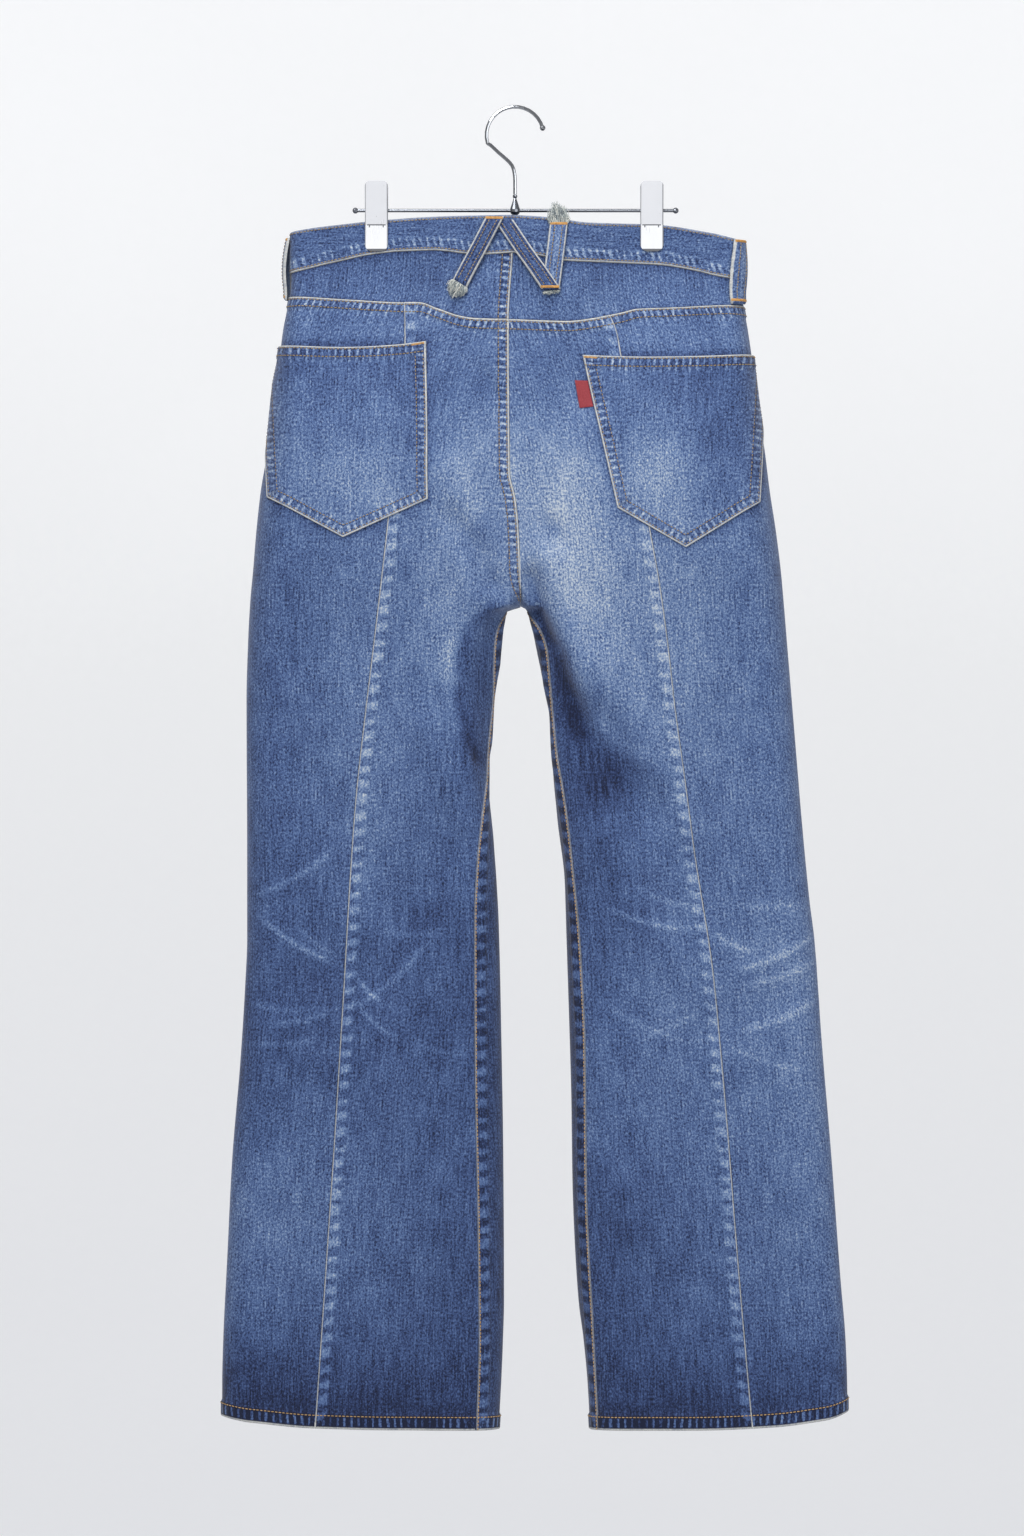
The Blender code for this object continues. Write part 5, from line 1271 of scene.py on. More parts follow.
def clip_look():
    """The clips' bright plates, with painted shade in a hinge line, two notches, a folded lip and
    rims.
    """
    look = metal_look("clip_plate", (250, 250, 251), 0.3)
    x, _, z = look.split(look.place())
    from_centre = look.math("ABSOLUTE", look.add(x, CLIP_LEFT_OFF))
    aside = look.math("ABSOLUTE", look.less(from_centre, CLIP_MIDDLE))
    line = look.times(look.near(z, *CLIP_HINGE_SHADE), look.fall(aside, *CLIP_HINGE_SHADE_END))
    notch = look.times(look.near(z, *CLIP_NOTCH_SHADE), look.near(aside, *CLIP_NOTCH_SHADE_ASIDE))
    lip = look.fall(z, *CLIP_LIP_SHADE)
    rim = look.step(aside, *CLIP_RIM_SHADE)
    # Painted shade: the hinge line, the notches, the lip and the rims darken the plate, and the
    # upper lever is a little greyer.
    dark = look.math("MAXIMUM", look.math("MAXIMUM", line, notch),
                     look.math("MAXIMUM", lip, look.times(rim, 0.75)))
    upper = look.times(look.step(z, *CLIP_UPPER_SHADE), 0.06)
    look.colour(look.ramp(look.less(look.less(0.93, upper), look.times(dark, 0.8)),
                          ((0.0, 40, 42, 46), (0.8, 190, 192, 197), (1.0, 220, 221, 223))))
    look.shader.inputs["Metallic"].default_value = 0.35
    return look.material


TAPE_RED = (150, 16, 34)


def tape_look():
    """Plain woven tape with fine ribs and a fuzzy, uneven tone."""
    look = Look("red_tape", 0.7)
    where = look.place()
    x, _, z = look.split(where)
    ribs = look.math("SINE", look.times(z, 9000.0))
    cross = look.math("SINE", look.times(x, 7000.0))
    fuzz = look.noise(where, 900.0, 3.0)
    value = look.add(0.5, look.times(ribs, 0.12), look.times(cross, 0.08),
                     look.times(fuzz, 0.9))
    look.colour(look.ramp(value, ((0.0, *(c * 0.7 for c in TAPE_RED)), (0.5, *TAPE_RED),
                                  (1.0, *(c + (255 - c) * 0.22 for c in TAPE_RED))),
                          EXPOSURE))
    look.bump(look.add(ribs, cross), 0.3, 0.0002)
    return look.material


# Legs, yokes and waistband
# The seat's raised seam ends, and the inside leg's begins, between two drops each. A
# shade is how much darker, and the length over which it fades from its edge.

SEAT_SEAM_END = (441, 449)
INSEAM_START = (449, 452)
YOKE_TALL = 44.0
YOKE_SHADE_TOP = (0.16, 2.5)
YOKE_SHADE_LOW = (0.10, 2.0)
BAND_DROP = 125.0
LAP_DROP = 120.0


def back_grid(half, inner):
    """Cloth for one back panel, inside or outside the long seam."""
    drops, shares, across = [], [], []
    for level in leg_rows():
        mid, side, low = (float(level_to_drop(half, level, s)) for s in (0.5, SIDE_GUIDE, 1.0))
        places = back_columns(half, inner, mid, side, low)
        share = shares_of(half, places, mid, side)
        drops.append(level_to_drop(half, level, share))
        shares.append(share)
        across.append(places)
    return Cloth(half, drops, shares, across)


def beside_pocket(half, drop):
    """0 where a pocket covers a seam, which lies flat there, and 1 elsewhere."""
    ends = [corner[1] for corner in POCKETS[half.word]]
    top, tip = min(ends) - 14, max(ends) - 4
    return 1 - smooth_step(drop, top, top + 5) * (1 - smooth_step(drop, tip - 6, tip))


def finish_cloth(cloth):
    """Gives a cloth grid its fades, with the painted fold shade and highlights in them."""
    cloth.fade = tone(cloth.half, cloth.place_x(), cloth.drops, cloth.shares)
    return cloth


POCKET_SHADE = 0.16
POCKET_SHADE_REACH = 3.0


def outline_sides(corners):
    """A convex outline's sides, each as its first corner and its inward normal."""
    corners = np.array(corners, float)
    centre = corners.mean(axis=0)
    for a, b in zip(corners, np.roll(corners, -1, axis=0)):
        normal = np.array((a[1] - b[1], b[0] - a[0])) / np.linalg.norm(b - a)
        yield a, normal if np.dot(normal, centre - a) > 0 else -normal


def pocket_shadow(cloth):
    """Darkens the cloth just outside a pocket's edge."""
    outside = np.maximum.reduce([
        (a[0] - cloth.place_x()) * inward[0] + (a[1] - cloth.drops) * inward[1]
        for a, inward in outline_sides(POCKETS[cloth.half.word])
    ])
    shade = POCKET_SHADE * np.exp(-np.maximum(outside, 0) / POCKET_SHADE_REACH)
    cloth.fade = cloth.fade - shade * (cloth.shares > 0)


def back_cloth(half, inner):
    cloth = back_grid(half, inner)
    top = folded(cloth.from_top, SEAM_STRIP, SEAM_RAISE)
    hem = folded(cloth.from_bottom, HEM_HEIGHT, HEM_RAISE)
    start = end = 0 * cloth.drops
    above = 1 - smooth_step(cloth.drops, *SEAT_SEAM_END)
    if inner:
        start = folded(cloth.from_start, SEAM_STRIP, SEAM_RAISE)
        start = start * beside_pocket(half, cloth.drops)
        if half is LEFT:
            end = folded(cloth.from_end, SEAM_STRIP, SEAM_RAISE) * above
    cloth.raise_by(top, hem, start, end)
    cloth.seam(cloth.from_top, cloth.across, 0.95, 1.0, 0.8)
    cloth.seam(cloth.from_bottom * SEAM_STRIP / HEM_HEIGHT, cloth.across, 1.0, 0.8, 0.5)
    if inner:
        cloth.seam(cloth.from_start, cloth.drops, 1.95 if half is LEFT else 1.85,
                   0.8, 0.22)
        if half is LEFT:
            cloth.seam(cloth.from_end, cloth.drops, above, above, 0.6 * above)
        else:
            cloth.seam(cloth.from_end + 10.5, cloth.drops, 0, 0, 0.25)
    else:
        cloth.seam(cloth.from_end + 9.0, cloth.drops, 0, 0, 0.25)
        cloth.seam(cloth.from_start, cloth.drops, 0.3, 0.5, 0.2)
    finish_cloth(cloth)
    pocket_shadow(cloth)
    return cloth


def front_fine_rows(half):
    """Nominal levels and depths of a front's rows, from its waist seam to its hem."""
    seam = float(half.lines["waist_seam"](SIDE_GUIDE))
    yoke = float(half.lines["yoke_seam"](SIDE_GUIDE))
    span = yoke - seam
    rows = [("yoke", d / span) for d in (*FOLD_IN[:-1], *np.arange(15, span, 3.0))]
    rows += [("leg", level) for level in leg_rows() if level == 0 or level > 0.03]
    rows += [("leg", (seam + SCOOP_DEPTH * part - yoke) / (HIP_DROP - yoke))
             for part in (0.9, 0.94, 0.965, 0.98, 0.99, 0.996, 1.0)]
    found = []
    for kind, level in rows:
        depth = float(front_level_drop(half, kind, level, SIDE_GUIDE)) - seam
        found.append((kind, level, depth))
    found.sort(key=lambda row: row[2])
    kept = [found[0]]
    for row in found[1:]:
        near_mouth = abs(row[2] - SCOOP_DEPTH) < 8
        if row[2] - kept[-1][2] > (0.28 if near_mouth else 0.34) or row[1] == 3:
            kept.append(row)
    return kept


def front_level_drop(half, kind, level, share):
    """The drop of a front's row, of the part beside the yoke or of the leg."""
    share = np.clip(share, -1, 1)
    if kind == "leg":
        return level_to_drop(half, level, share)
    seam, yoke = half.lines["waist_seam"](share), half.lines["yoke_seam"](share)
    return seam + (yoke - seam) * level + (SEAM_GAP / 2 if level == 0 else 0)


def front_columns(half, side_drop, inner_drop, depth):
    start = -scoop_edge(side_drop, depth) - SEAM_GAP / 2
    end = -half.length("front", side_drop)
    if side_drop >= CROTCH_DROP:
        end -= half.inseam_reach(inner_drop) - SEAM_GAP / 2
    return between(start, end, FOLD_IN, FOLD_IN, 58)


def facing_columns(half, side_drop, _, depth):
    start = -float(OUTSEAM(side_drop)) - SEAM_GAP / 2
    end = min(-scoop_edge(side_drop, depth) + SEAM_GAP / 2, start - 2)
    return np.linspace(start, end, 22)


def front_grid(half, rows, columns):
    """Cloth on the front, from its rows and from what gives each row's places."""
    drops, shares, across = [], [], []
    for kind, level, depth in rows:
        side, inner = (float(front_level_drop(half, kind, level, s)) for s in (SIDE_GUIDE, -1.0))
        places = columns(half, side, inner, depth)
        share = places / half.length("front", side)
        drops.append(front_level_drop(half, kind, level, share))
        shares.append(share)
        across.append(places)
    return Cloth(half, drops, shares, across)


def front_cloth(half):
    rows = front_fine_rows(half)
    cloth = front_grid(half, rows, front_columns)
    depth = np.array([row[2] for row in rows])[:, None]
    mouth = (1 - smooth_step(depth, SCOOP_DEPTH - 1, SCOOP_DEPTH)) + 0 * cloth.drops
    leg = smooth_step(cloth.drops, *INSEAM_START)
    below = leg if half is RIGHT else 1 + 0 * cloth.drops
    hem = folded(cloth.from_bottom, HEM_HEIGHT, HEM_RAISE)
    cloth.raise_by(hem, folded(cloth.from_start, SEAM_STRIP, SEAM_RAISE) * mouth,
                   folded(cloth.from_end, SEAM_STRIP, SEAM_RAISE) * below)
    cloth.seam(cloth.from_bottom * SEAM_STRIP / HEM_HEIGHT, cloth.across, 1.0, 0.8, 0.5)
    cloth.seam(cloth.from_end, cloth.drops, 1.95 * below, 0.38 * below, 0.0)
    cloth.seam(cloth.from_start, cloth.drops, 0.5 * mouth, 0.5 + 0.4 * mouth, 0.2)
    cloth.seam(cloth.from_top + 10, cloth.across, 0, 0, 0.3)
    finish_cloth(cloth)
    # Painted shade: the front's strip beside the inseam, which faces into the gap between the legs,
    # is drawn darker.
    strip = (1 - smooth_step(cloth.from_end, 16, 60)) * leg
    dark = 0.20 if half is LEFT else 0.12
    cloth.fade = cloth.fade + (dark - cloth.fade) * 0.85 * strip
    return cloth


def facing_cloth(half):
    rows = [row for row in front_fine_rows(half) if row[2] <= SCOOP_DEPTH * 0.985]
    cloth = front_grid(half, rows, facing_columns)
    cloth.raise_by()
    cloth.thick = cloth.thick - FACING_SHALLOW
    cloth.seam(cloth.from_start + 9, cloth.drops, 0, 0, 0.3)
    return finish_cloth(cloth)


def yoke_cloth(half):
    top, bottom = half.lines["waist_seam"], half.lines["yoke_seam"]
    drops, shares, across = [], [], []
    for level in sorted([*(d / YOKE_TALL for d in PLAIN_IN), *np.linspace(0, 1, 15)[2:-1],
                         *(1 - d / YOKE_TALL for d in PLAIN_IN[::-1])]):
        drop, side = (float(top(s) + (bottom(s) - top(s)) * level)
                      for s in (0.5, SIDE_GUIDE))
        start = -float(OUTSEAM(side)) + SEAM_GAP / 2
        end = half.length("back", drop)
        near_end = FOLD_IN if half is LEFT else PLAIN_IN
        places = between(start, end, PLAIN_IN, near_end, 72)
        share = shares_of(half, places, drop, side)
        gap = {0.0: SEAM_GAP / 2, 1.0: -SEAM_GAP / 2}.get(level, 0.0)
        drops.append(top(share) + (bottom(share) - top(share)) * level + gap)
        shares.append(share)
        across.append(places)
    cloth = Cloth(half, drops, shares, across)
    if half is LEFT:
        cloth.raise_by(folded(cloth.from_end, SEAM_STRIP, SEAM_RAISE))
        cloth.seam(cloth.from_end, cloth.drops, 1.0, 1.0, 0.6)
    else:
        cloth.raise_by()
    cloth.seam(cloth.from_bottom + 10.5, cloth.across, 0, 0, 0.15)
    cloth.seam(cloth.from_start, cloth.drops, 0.3, 0.5, 0.2)
    finish_cloth(cloth)
    for edge, (darker, reach) in ((cloth.from_top, YOKE_SHADE_TOP),
                                  (cloth.from_bottom, YOKE_SHADE_LOW)):
        cloth.fade = cloth.fade - darker * np.exp(-edge / reach)
    return cloth


def band_cloth():
    """The waistband's grid, as one run from its buttoned end round to its other end."""
    levels = np.array(sorted({0.0, 0.012, 0.03, 0.07, 0.97, 0.985, 1.0,
                              *np.linspace(0.1, 0.94, 10)}))[:, None]
    grids = []
    for half in (LEFT, RIGHT):
        front, back = half.length("front", BAND_DROP), half.length("back", BAND_DROP)
        places = np.concatenate([np.linspace(-front, 0, 90), np.linspace(0, back, 90)[1:]])
        shares = np.where(places < 0, places / front, places / back)
        grids.append(band_rows(half, shares, levels, places))
    left, right = grids
    reach = np.linspace(-FLY_OVERLAP, -0.6, 9)
    lap = band_rows(RIGHT, -1 - reach / RIGHT.length("front", LAP_DROP), levels,
                    reach - right.across[0, 0])
    clear = BAND_CLOTH + LAY_GAP
    parts = [(lap, slice(None), clear), (left, slice(1, None), 0.0),
             (right, slice(-2, None, -1), 0.0)]
    whole = object.__new__(Cloth)
    whole.half = LEFT
    for key in ("drops", "shares", "from_top", "from_bottom", "fade"):
        setattr(whole, key, np.concatenate([getattr(g, key)[:, c] for g, c, _ in parts],
                                           axis=1))
    whole.base = np.concatenate(
        [(g.base + g.normal * up)[:, c] for g, c, up in parts], axis=1)
    whole.normal = np.concatenate([g.normal[:, c] for g, c, _ in parts], axis=1)
    steps = np.linalg.norm(np.diff(whole.base, axis=1), axis=-1)
    whole.across = np.concatenate(
        [np.zeros((len(levels), 1)), np.cumsum(steps, axis=1)], axis=1)
    whole.across[:] = whole.across[len(levels) // 2]
    whole.from_start = whole.across - whole.across[:, :1]
    whole.from_end = whole.across[:, -1:] - whole.across
    top = rounded(whole.from_top, 1.5)
    low = rounded(whole.from_bottom, 1.2)
    whole.thick = BAND_CLOTH * (0.35 + 0.65 * np.minimum(top, low))
    whole.lift = BAND_CLOTH * 0.2 * (1 - top)
    whole.seams = []
    whole.seam(whole.from_bottom, whole.across, -1.0, 1.0, 0)
    whole.seam(whole.from_top, whole.across, 0, 0.3, 0.1)
    whole.seam(whole.from_start, whole.drops, 0.2, 0.8, 0.2)
    whole.seam(whole.from_end, whole.drops, 0.2, 0.8, 0.2)
    return whole


def band_rows(half, shares, levels, places):
    """One stretch of the waistband, from its upper edge to its seam."""
    top, bottom = half.lines["waist_top"], half.lines["waist_seam"]
    drop = top(shares) + (bottom(shares) - SEAM_GAP / 2 - top(shares)) * levels
    shares = np.broadcast_to(shares, drop.shape)
    cloth = Cloth(half, drop, shares, np.broadcast_to(places, drop.shape))
    return finish_cloth(cloth)


# Pockets and the label tab

def locate(half, x, drop):
    """Shares for x on the back face, which past the side fold goes on by length."""
    x, drop = np.broadcast_arrays(np.asarray(x, float), np.asarray(drop, float))
    fold = half.outer(drop)
    inside = half.side * (fold - x)
    grid = np.linspace(0, 1, 481)
    share = np.empty(x.shape)
    for k in np.ndindex(x.shape):
        found = half.xy(float(drop[k]), grid)[:, 0]
        order = 1 if found[-1] > found[0] else -1
        share[k] = np.interp(x[k], found[::order], grid[::order])
    past = inside / half.length("front", drop)
    return np.where(inside < 0, past, share)


class Laid:
    """A piece lying on the back face, from a grid of (x, drop) places."""

    def __init__(self, half, x, drop, under, thick):
        self.half, self.x, self.drops = half, x, drop
        self.shares = locate(half, x, drop)
        self.base, self.normal = half.points(drop, self.shares)
        self.base = self.base + self.normal * np.asarray(
            under + relief(x, drop, self.shares))[..., None]
        self.thick = np.broadcast_to(thick, drop.shape)

    def outer(self, above=0.0):
        return self.base + self.normal * (self.thick + above)[..., None]


def inset_outline(corners, inset):
    """A convex outline moved in on every side, with its corners kept sharp."""
    lines = [(inward, np.dot(inward, a) + inset) for a, inward in outline_sides(corners)]
    return [np.linalg.solve(np.array((n1, n2)), np.array((d1, d2)))
            for (n1, d1), (n2, d2) in zip([lines[-1]] + lines[:-1], lines)]


def sag(word, f):
    """How far a pocket's mouth sags at a share of its width."""
    return POCKET_SAG[word] * 4 * f * (1 - f)


def top_sag(word, x):
    (x1, _), (x2, _) = POCKETS[word][:2]
    return sag(word, np.clip((x - x1) / (x2 - x1), 0, 1))


def close_ends(near, count):
    """Shares from 0 to 1, close together by both ends and even between."""
    middle = np.linspace(near[-1], 1 - near[-1], count)[1:-1]
    return np.concatenate([near, middle, 1 - near[::-1]])


POCKET_TALL = 165.0
POCKET_STITCH = (2.4, 9.6)
POCKET_HEM_STITCH = (2.3, 9.4)
POCKET_TACK = 13


def pocket(half):
    """A patch pocket laid on its half, and its seams."""
    corners = [np.array(c, float) for c in POCKETS[half.word]]
    top_left, top_right, low_right, tip, low_left = corners
    near = np.array(FOLD_IN)
    share = abs(tip[0] - low_left[0]) / abs(low_right[0] - low_left[0])
    f = np.sort(np.append(close_ends(near / abs(top_right[0] - top_left[0]), 40), share))
    g = close_ends(near / POCKET_TALL, 46)
    top = top_left + (top_right - top_left) * f[:, None]
    top[:, 1] += sag(half.word, f)
    low = np.where(
        (f < share)[:, None], low_left + (tip - low_left) * (f / share)[:, None],
        tip + (low_right - tip) * ((f - share) / (1 - share))[:, None],
    )
    grid = top[None] + (low - top)[None] * g[:, None, None]
    x, drop = grid[..., 0], grid[..., 1]
    sides = [beside_line(x, drop, *a, *b) for a, b in zip(corners, corners[1:] + corners[:1])]
    runs = [run for run, _, _ in sides]
    away = [drop - top[None, :, 1]] + [np.abs(across) for _, across, _ in sides[1:]]
    nearest = np.minimum.reduce(away)
    edge = rounded(nearest, 0.8)
    thick = CLOTH * (0.35 + 0.65 * edge)
    thick = thick + np.maximum(folded(away[0], POCKET_HEM, SEAM_RAISE) * edge,
                               0.25 * folded(nearest, SEAM_STRIP, 1.0))
    seams = [(away[0], runs[0], 0.85, 1.0, 0.9)]
    seams += [(d, r, 0.75, 1.0, 0.45) for d, r in zip(away[1:], runs[1:])]
    return Laid(half, x, drop, CLOTH + POCKET_LIFT, thick), seams


POCKET_TONE = {
    # tone at the mouth, its rise with the drop, the mouth's drop
    "left": (0.34, 0.0007, 215), "right": (0.36, 0.0005, 225),
}
POCKET_FADES = {
    # x, drop, half width, half height, how much paler
    "left": (
        (-150, 330, 40, 36, 0.12), (-110, 300, 18, 60, 0.04), (-118, 345, 14, 26, 0.10),
        (-200, 235, 60, 20, -0.04), (-95, 250, 18, 40, -0.05), (-190, 300, 40, 60, 0.02),
    ),
    "right": (
        (128, 332, 34, 36, 0.26), (175, 300, 22, 70, -0.06), (105, 250, 14, 60, 0.04),
        (196, 260, 26, 60, -0.05), (150, 372, 16, 12, 0.12), (140, 240, 40, 14, -0.05),
    ),
}


def pocket_tone(word, x, drop):
    start, slope, top = POCKET_TONE[word]
    value = start + slope * (drop - top)
    for px, pdrop, wide, tall, paler in POCKET_FADES[word]:
        value = value + paler * np.exp(-(((x - px) / wide) ** 2) - ((drop - pdrop) / tall) ** 2)
    return value


def spots_along(places):
    """Close places along a drawn line of pairs, as two columns."""
    places = np.array(places, float)
    steps = np.hypot(*np.diff(places, axis=0).T)
    reach = np.concatenate([[0], np.cumsum(steps)])
    spots = np.linspace(0, reach[-1], max(3, int(reach[-1] / 3)))
    return (np.interp(spots, reach, places[:, a]) for a in (0, 1))


def line_on(half, places, lift):
    """Points and normals along a drawn line of (x, drop) places on the back face."""
    x, drop = spots_along(places)
    base, normal = half.points(drop, locate(half, x, drop))
    return base + normal * lift, normal


def front_line(half, places, lift):
    """Points and normals along a line of (length from the side fold, drop) on the front."""
    place, drop = spots_along(places)
    base, normal = half.points(drop, -place / half.length("front", drop))
    return base + normal * lift, normal


def build_pocket(half, looks):
    word, corners = half.word, POCKETS[half.word]
    laid, seams = pocket(half)
    along, seam_look = seam_values(laid.drops.shape, seams)
    fade = pocket_tone(word, laid.x, laid.drops)
    outer = laid.outer()
    piece = shell(f"pocket_{word}_cloth", laid.base, outer, {
        "fade": fade, "along": along, "seam": seam_look, "inside": 0 * fade,
        "weave": np.stack([laid.x + 0.02 * laid.drops, laid.drops, 0 * fade], axis=-1),
    }, looks["denim"])
    dress(piece, f"pocket_back_{word}")
    under = CLOTH + POCKET_LIFT + CLOTH + THREAD_LIFT
    lines, top, tacks = [], [], []
    for inset in POCKET_STITCH:
        ring = inset_outline(corners, inset)
        lines.append(line_on(half, ring[1:] + ring[:1], under))
    (x1, y1), (x2, y2) = corners[:2]
    way = np.sign(x2 - x1)
    x = np.linspace(x1 + 1.5 * way, x2 - 1.5 * way, 40)
    for inset in POCKET_HEM_STITCH:
        y = y1 + (y2 - y1) * (x - x1) / (x2 - x1) + top_sag(word, x) + inset
        top.append(line_on(half, np.stack([x, y], axis=1), under + SEAM_RAISE))
    for (x, y), sign in zip(corners, (way, -way)):
        far = x + sign * POCKET_TACK
        end = (far, y + 2.4 + top_sag(word, far))
        tacks.append(line_on(half, [(x + sign * 1.2, y + 2.2), end], under + SEAM_RAISE))
    sewn = [sew(f"pocket_{word}_stitches", lines, looks["brown"]),
            sew(f"pocket_{word}_hem_stitches", top, looks["brown"]),
            sew(f"pocket_{word}_tacks", tacks, looks["orange"], across=True, pitch=0.55,
                length=2.0, radius=0.34)]


TAB_WIDE = 12
TAB_TALL = 24
TAB_BOW = 0.5


def build_label(looks):
    """A blank folded tape, caught in the right pocket's edge."""
    top_left, top_right, low_right, low_left = np.array(LABEL_TAB)
    over = np.linspace(0, 1, TAB_WIDE + 1)[None, :]
    down = np.linspace(0, 1, TAB_TALL + 1)[:, None]
    f, g = over[..., None], down[..., None]
    grid = (1 - g) * ((1 - f) * top_left + f * top_right) + g * (
        (1 - f) * low_left + f * low_right)
    x, drop = grid[..., 0], grid[..., 1]
    bow = TAB_BOW * np.sin(math.pi * down) * (1 - over)
    flat = 0 * x
    near = np.minimum.reduce([over * TAB_WIDE + flat, (1 - over) * TAB_WIDE + flat,
                              down * TAB_TALL + flat, (1 - down) * TAB_TALL + flat])
    thick = TAB_CLOTH * (0.5 + 0.5 * rounded(near, 0.8))
    laid = Laid(RIGHT, x, drop, CLOTH + LAY_GAP + bow, thick)
    piece = shell("label_tab_cloth", laid.base, laid.outer(), {"fade": flat}, looks["tape"])
    dress(piece, "label_tab")
    laid.outer()


SEAM_LINES = (2.3, 9.2)


def build_legs(looks):
    for half in (LEFT, RIGHT):
        word, band, over = half.word, "cloth_waistband", f"cloth_yoke_{half.word}"
        outer, inner = back_cloth(half, False), back_cloth(half, True)
        front, yoke, facing = front_cloth(half), yoke_cloth(half), facing_cloth(half)
        hems = [[c.line_across(c.from_bottom, HEM_STITCH)] for c in (outer, inner, front)]
        brown = [[c.line_across(c.from_top, i) for i in SEAM_LINES] for c in (outer, inner)]
        front_brown, yoke_brown = [], []
        below = front.drops[:, -1] > CROTCH_DROP + 2
        hems[2] = [front.line_down(front.from_end, 1.3, below), *hems[2], *mouth_lines(half)]
        if half is LEFT:
            above = inner.drops[:, -1] < CROTCH_DROP - 2
            brown[1] += [inner.line_down(inner.from_end, i, above) for i in SEAM_LINES]
            yoke_brown = [yoke.line_down(yoke.from_end, i) for i in SEAM_LINES]
            above = front.drops[:, -1] < CROTCH_DROP - 12
            front_brown = [front.line_down(front.from_end, 1.5, above)]
            hems[2] += fly_lines()
        for cloth, node, seam_lines, hem_lines, rest in (
            (outer, f"back_{word}_outer", brown[0], hems[0], over),
            (inner, f"back_{word}_inner", brown[1], hems[1], over),
            (front, f"front_{word}", front_brown, hems[2], band),
            (yoke, f"yoke_{word}", yoke_brown, [], band),
            (facing, f"pocket_facing_{word}", [], [], band),
        ):
            piece = cloth_piece(f"cloth_{node}", cloth, looks["denim"], node)
            sewn = [sew(f"{kind}_{node}", lines, looks[colour]) for kind, lines, colour in (
                ("stitches", seam_lines, "brown"), ("topstitch", hem_lines, "amber")) if lines]
            cloth.outer()
        build_pocket(half, looks)
    build_label(looks)


# Stitches on the front: insets from an edge, a share, and drops
MOUTH_STITCH = (1.6, 8.2)
MOUTH_GUIDE = -0.35
FLY_STITCH = (36.0, 42.0)
FLY_TOP = 158
FLY_FOOT = 318.0
FLY_CURVE = 58


def mouth_lines(half):
    """Two lines of stitches round a front pocket's mouth."""
    lines = []
    for inset in MOUTH_STITCH:
        places = []
        for t in np.linspace(0.02, math.pi / 2 - 0.05, 30):
            seam = float(half.lines["waist_seam"](MOUTH_GUIDE))
            drop = seam + SCOOP_DEPTH * math.sin(t)
            fold = float(OUTSEAM(drop))
            wide = SCOOP_WIDTH - fold
            place = fold + wide * math.cos(t)
            out = np.array((SCOOP_DEPTH * math.cos(t), wide * math.sin(t)))
            out /= np.linalg.norm(out)
            places.append((place + inset * out[0], drop + inset * out[1]))
        lines.append(front_line(half, places, CLOTH + SEAM_RAISE + 0.15))
    return lines


def fly_lines():
    """The curved double stitching that holds the fly's facing to the left front."""
    lines = []
    for inset in FLY_STITCH:
        places = []
        bottom = FLY_FOOT + (inset - FLY_STITCH[0])
        for t in np.linspace(0, 1, 36):
            drop = FLY_TOP + (bottom - FLY_TOP) * t
            turn = np.clip((drop - (bottom - FLY_CURVE)) / FLY_CURVE, 0, 1)
            away = inset * math.sqrt(max(0.0, 1 - turn ** 2))
            full = float(LEFT.length("front", drop))
            places.append((full - max(away, 3.0), drop))
        lines.append(front_line(LEFT, places, CLOTH + 0.2))
    return lines


BAND_STITCH = (2.4, 2.2)


def build_band(looks):
    band = band_cloth()
    piece = cloth_piece("cloth_waistband", band, looks["denim"], "waistband", True)
    sewn = [sew("stitches_waistband", [
        band.line_across(edge, inset)
        for edge, inset in zip((band.from_bottom, band.from_top), BAND_STITCH)
    ], looks["brown"])]
    band.outer()


# Belt loops, bartacks and frayed ends

LOOP_DOWN = np.linspace(0, 1, 40)[:, None]
LOOP_OVER = np.array((-0.5, -0.475, -0.43, -0.33, -0.2, 0.0, 0.2, 0.33, 0.43, 0.475, 0.5))[None]
LOOP_STITCH = (0.39, 0.61)
LOOP_TONE = 0.24
WORN_LOOP_TONE = 0.46
SIDE_LOOP_TONE = 0.42
LOOP_DROP = 130.0


def slant_loop(name, upper, lower, width, lifts, level_low, looks, tack, fade):
    """A sewn strip across the waistband, bowed off the cloth between its ends."""
    start, end = np.array(upper, float), np.array(lower, float)
    length = np.linalg.norm(end - start)
    along = (end - start) / length
    across = np.array((-along[1], along[0]))
    slope = along * across[1] / along[1]
    t, s = LOOP_DOWN, LOOP_OVER
    cut = 1 + 0 * t if level_low else 1 - t
    x, drop = (start[k] + (end[k] - start[k]) * t + (across[k] - slope[k] * cut) * s * width
               for k in (0, 1))
    clear = BAND_CLOTH + LAY_GAP + LOOP_BOW * np.sin(math.pi * t)
    clear = clear + lifts[0] * (1 - smooth_step(t, 0.12, 0.45))
    clear = clear + lifts[1] * smooth_step(t, 0.35, 0.66)
    base, normal = np.empty(x.shape + (3,)), np.empty(x.shape + (3,))
    centre = LEFT.centre_back(drop)
    for half, here in ((LEFT, x < centre), (RIGHT, x >= centre)):
        if here.any():
            share = locate(half, x[here], drop[here])
            base[here], normal[here] = half.points(drop[here], share)
    middle = s.size // 2
    spine = base[:, middle:middle + 1]
    normal = np.broadcast_to(normal[:, middle:middle + 1], normal.shape)
    off = np.sum((base - spine) * normal, axis=-1, keepdims=True)
    inner = base - normal * off + normal * clear[..., None]
    finish_loop(name, inner, normal, s * width, t * length, width, looks, (tack,), fade)


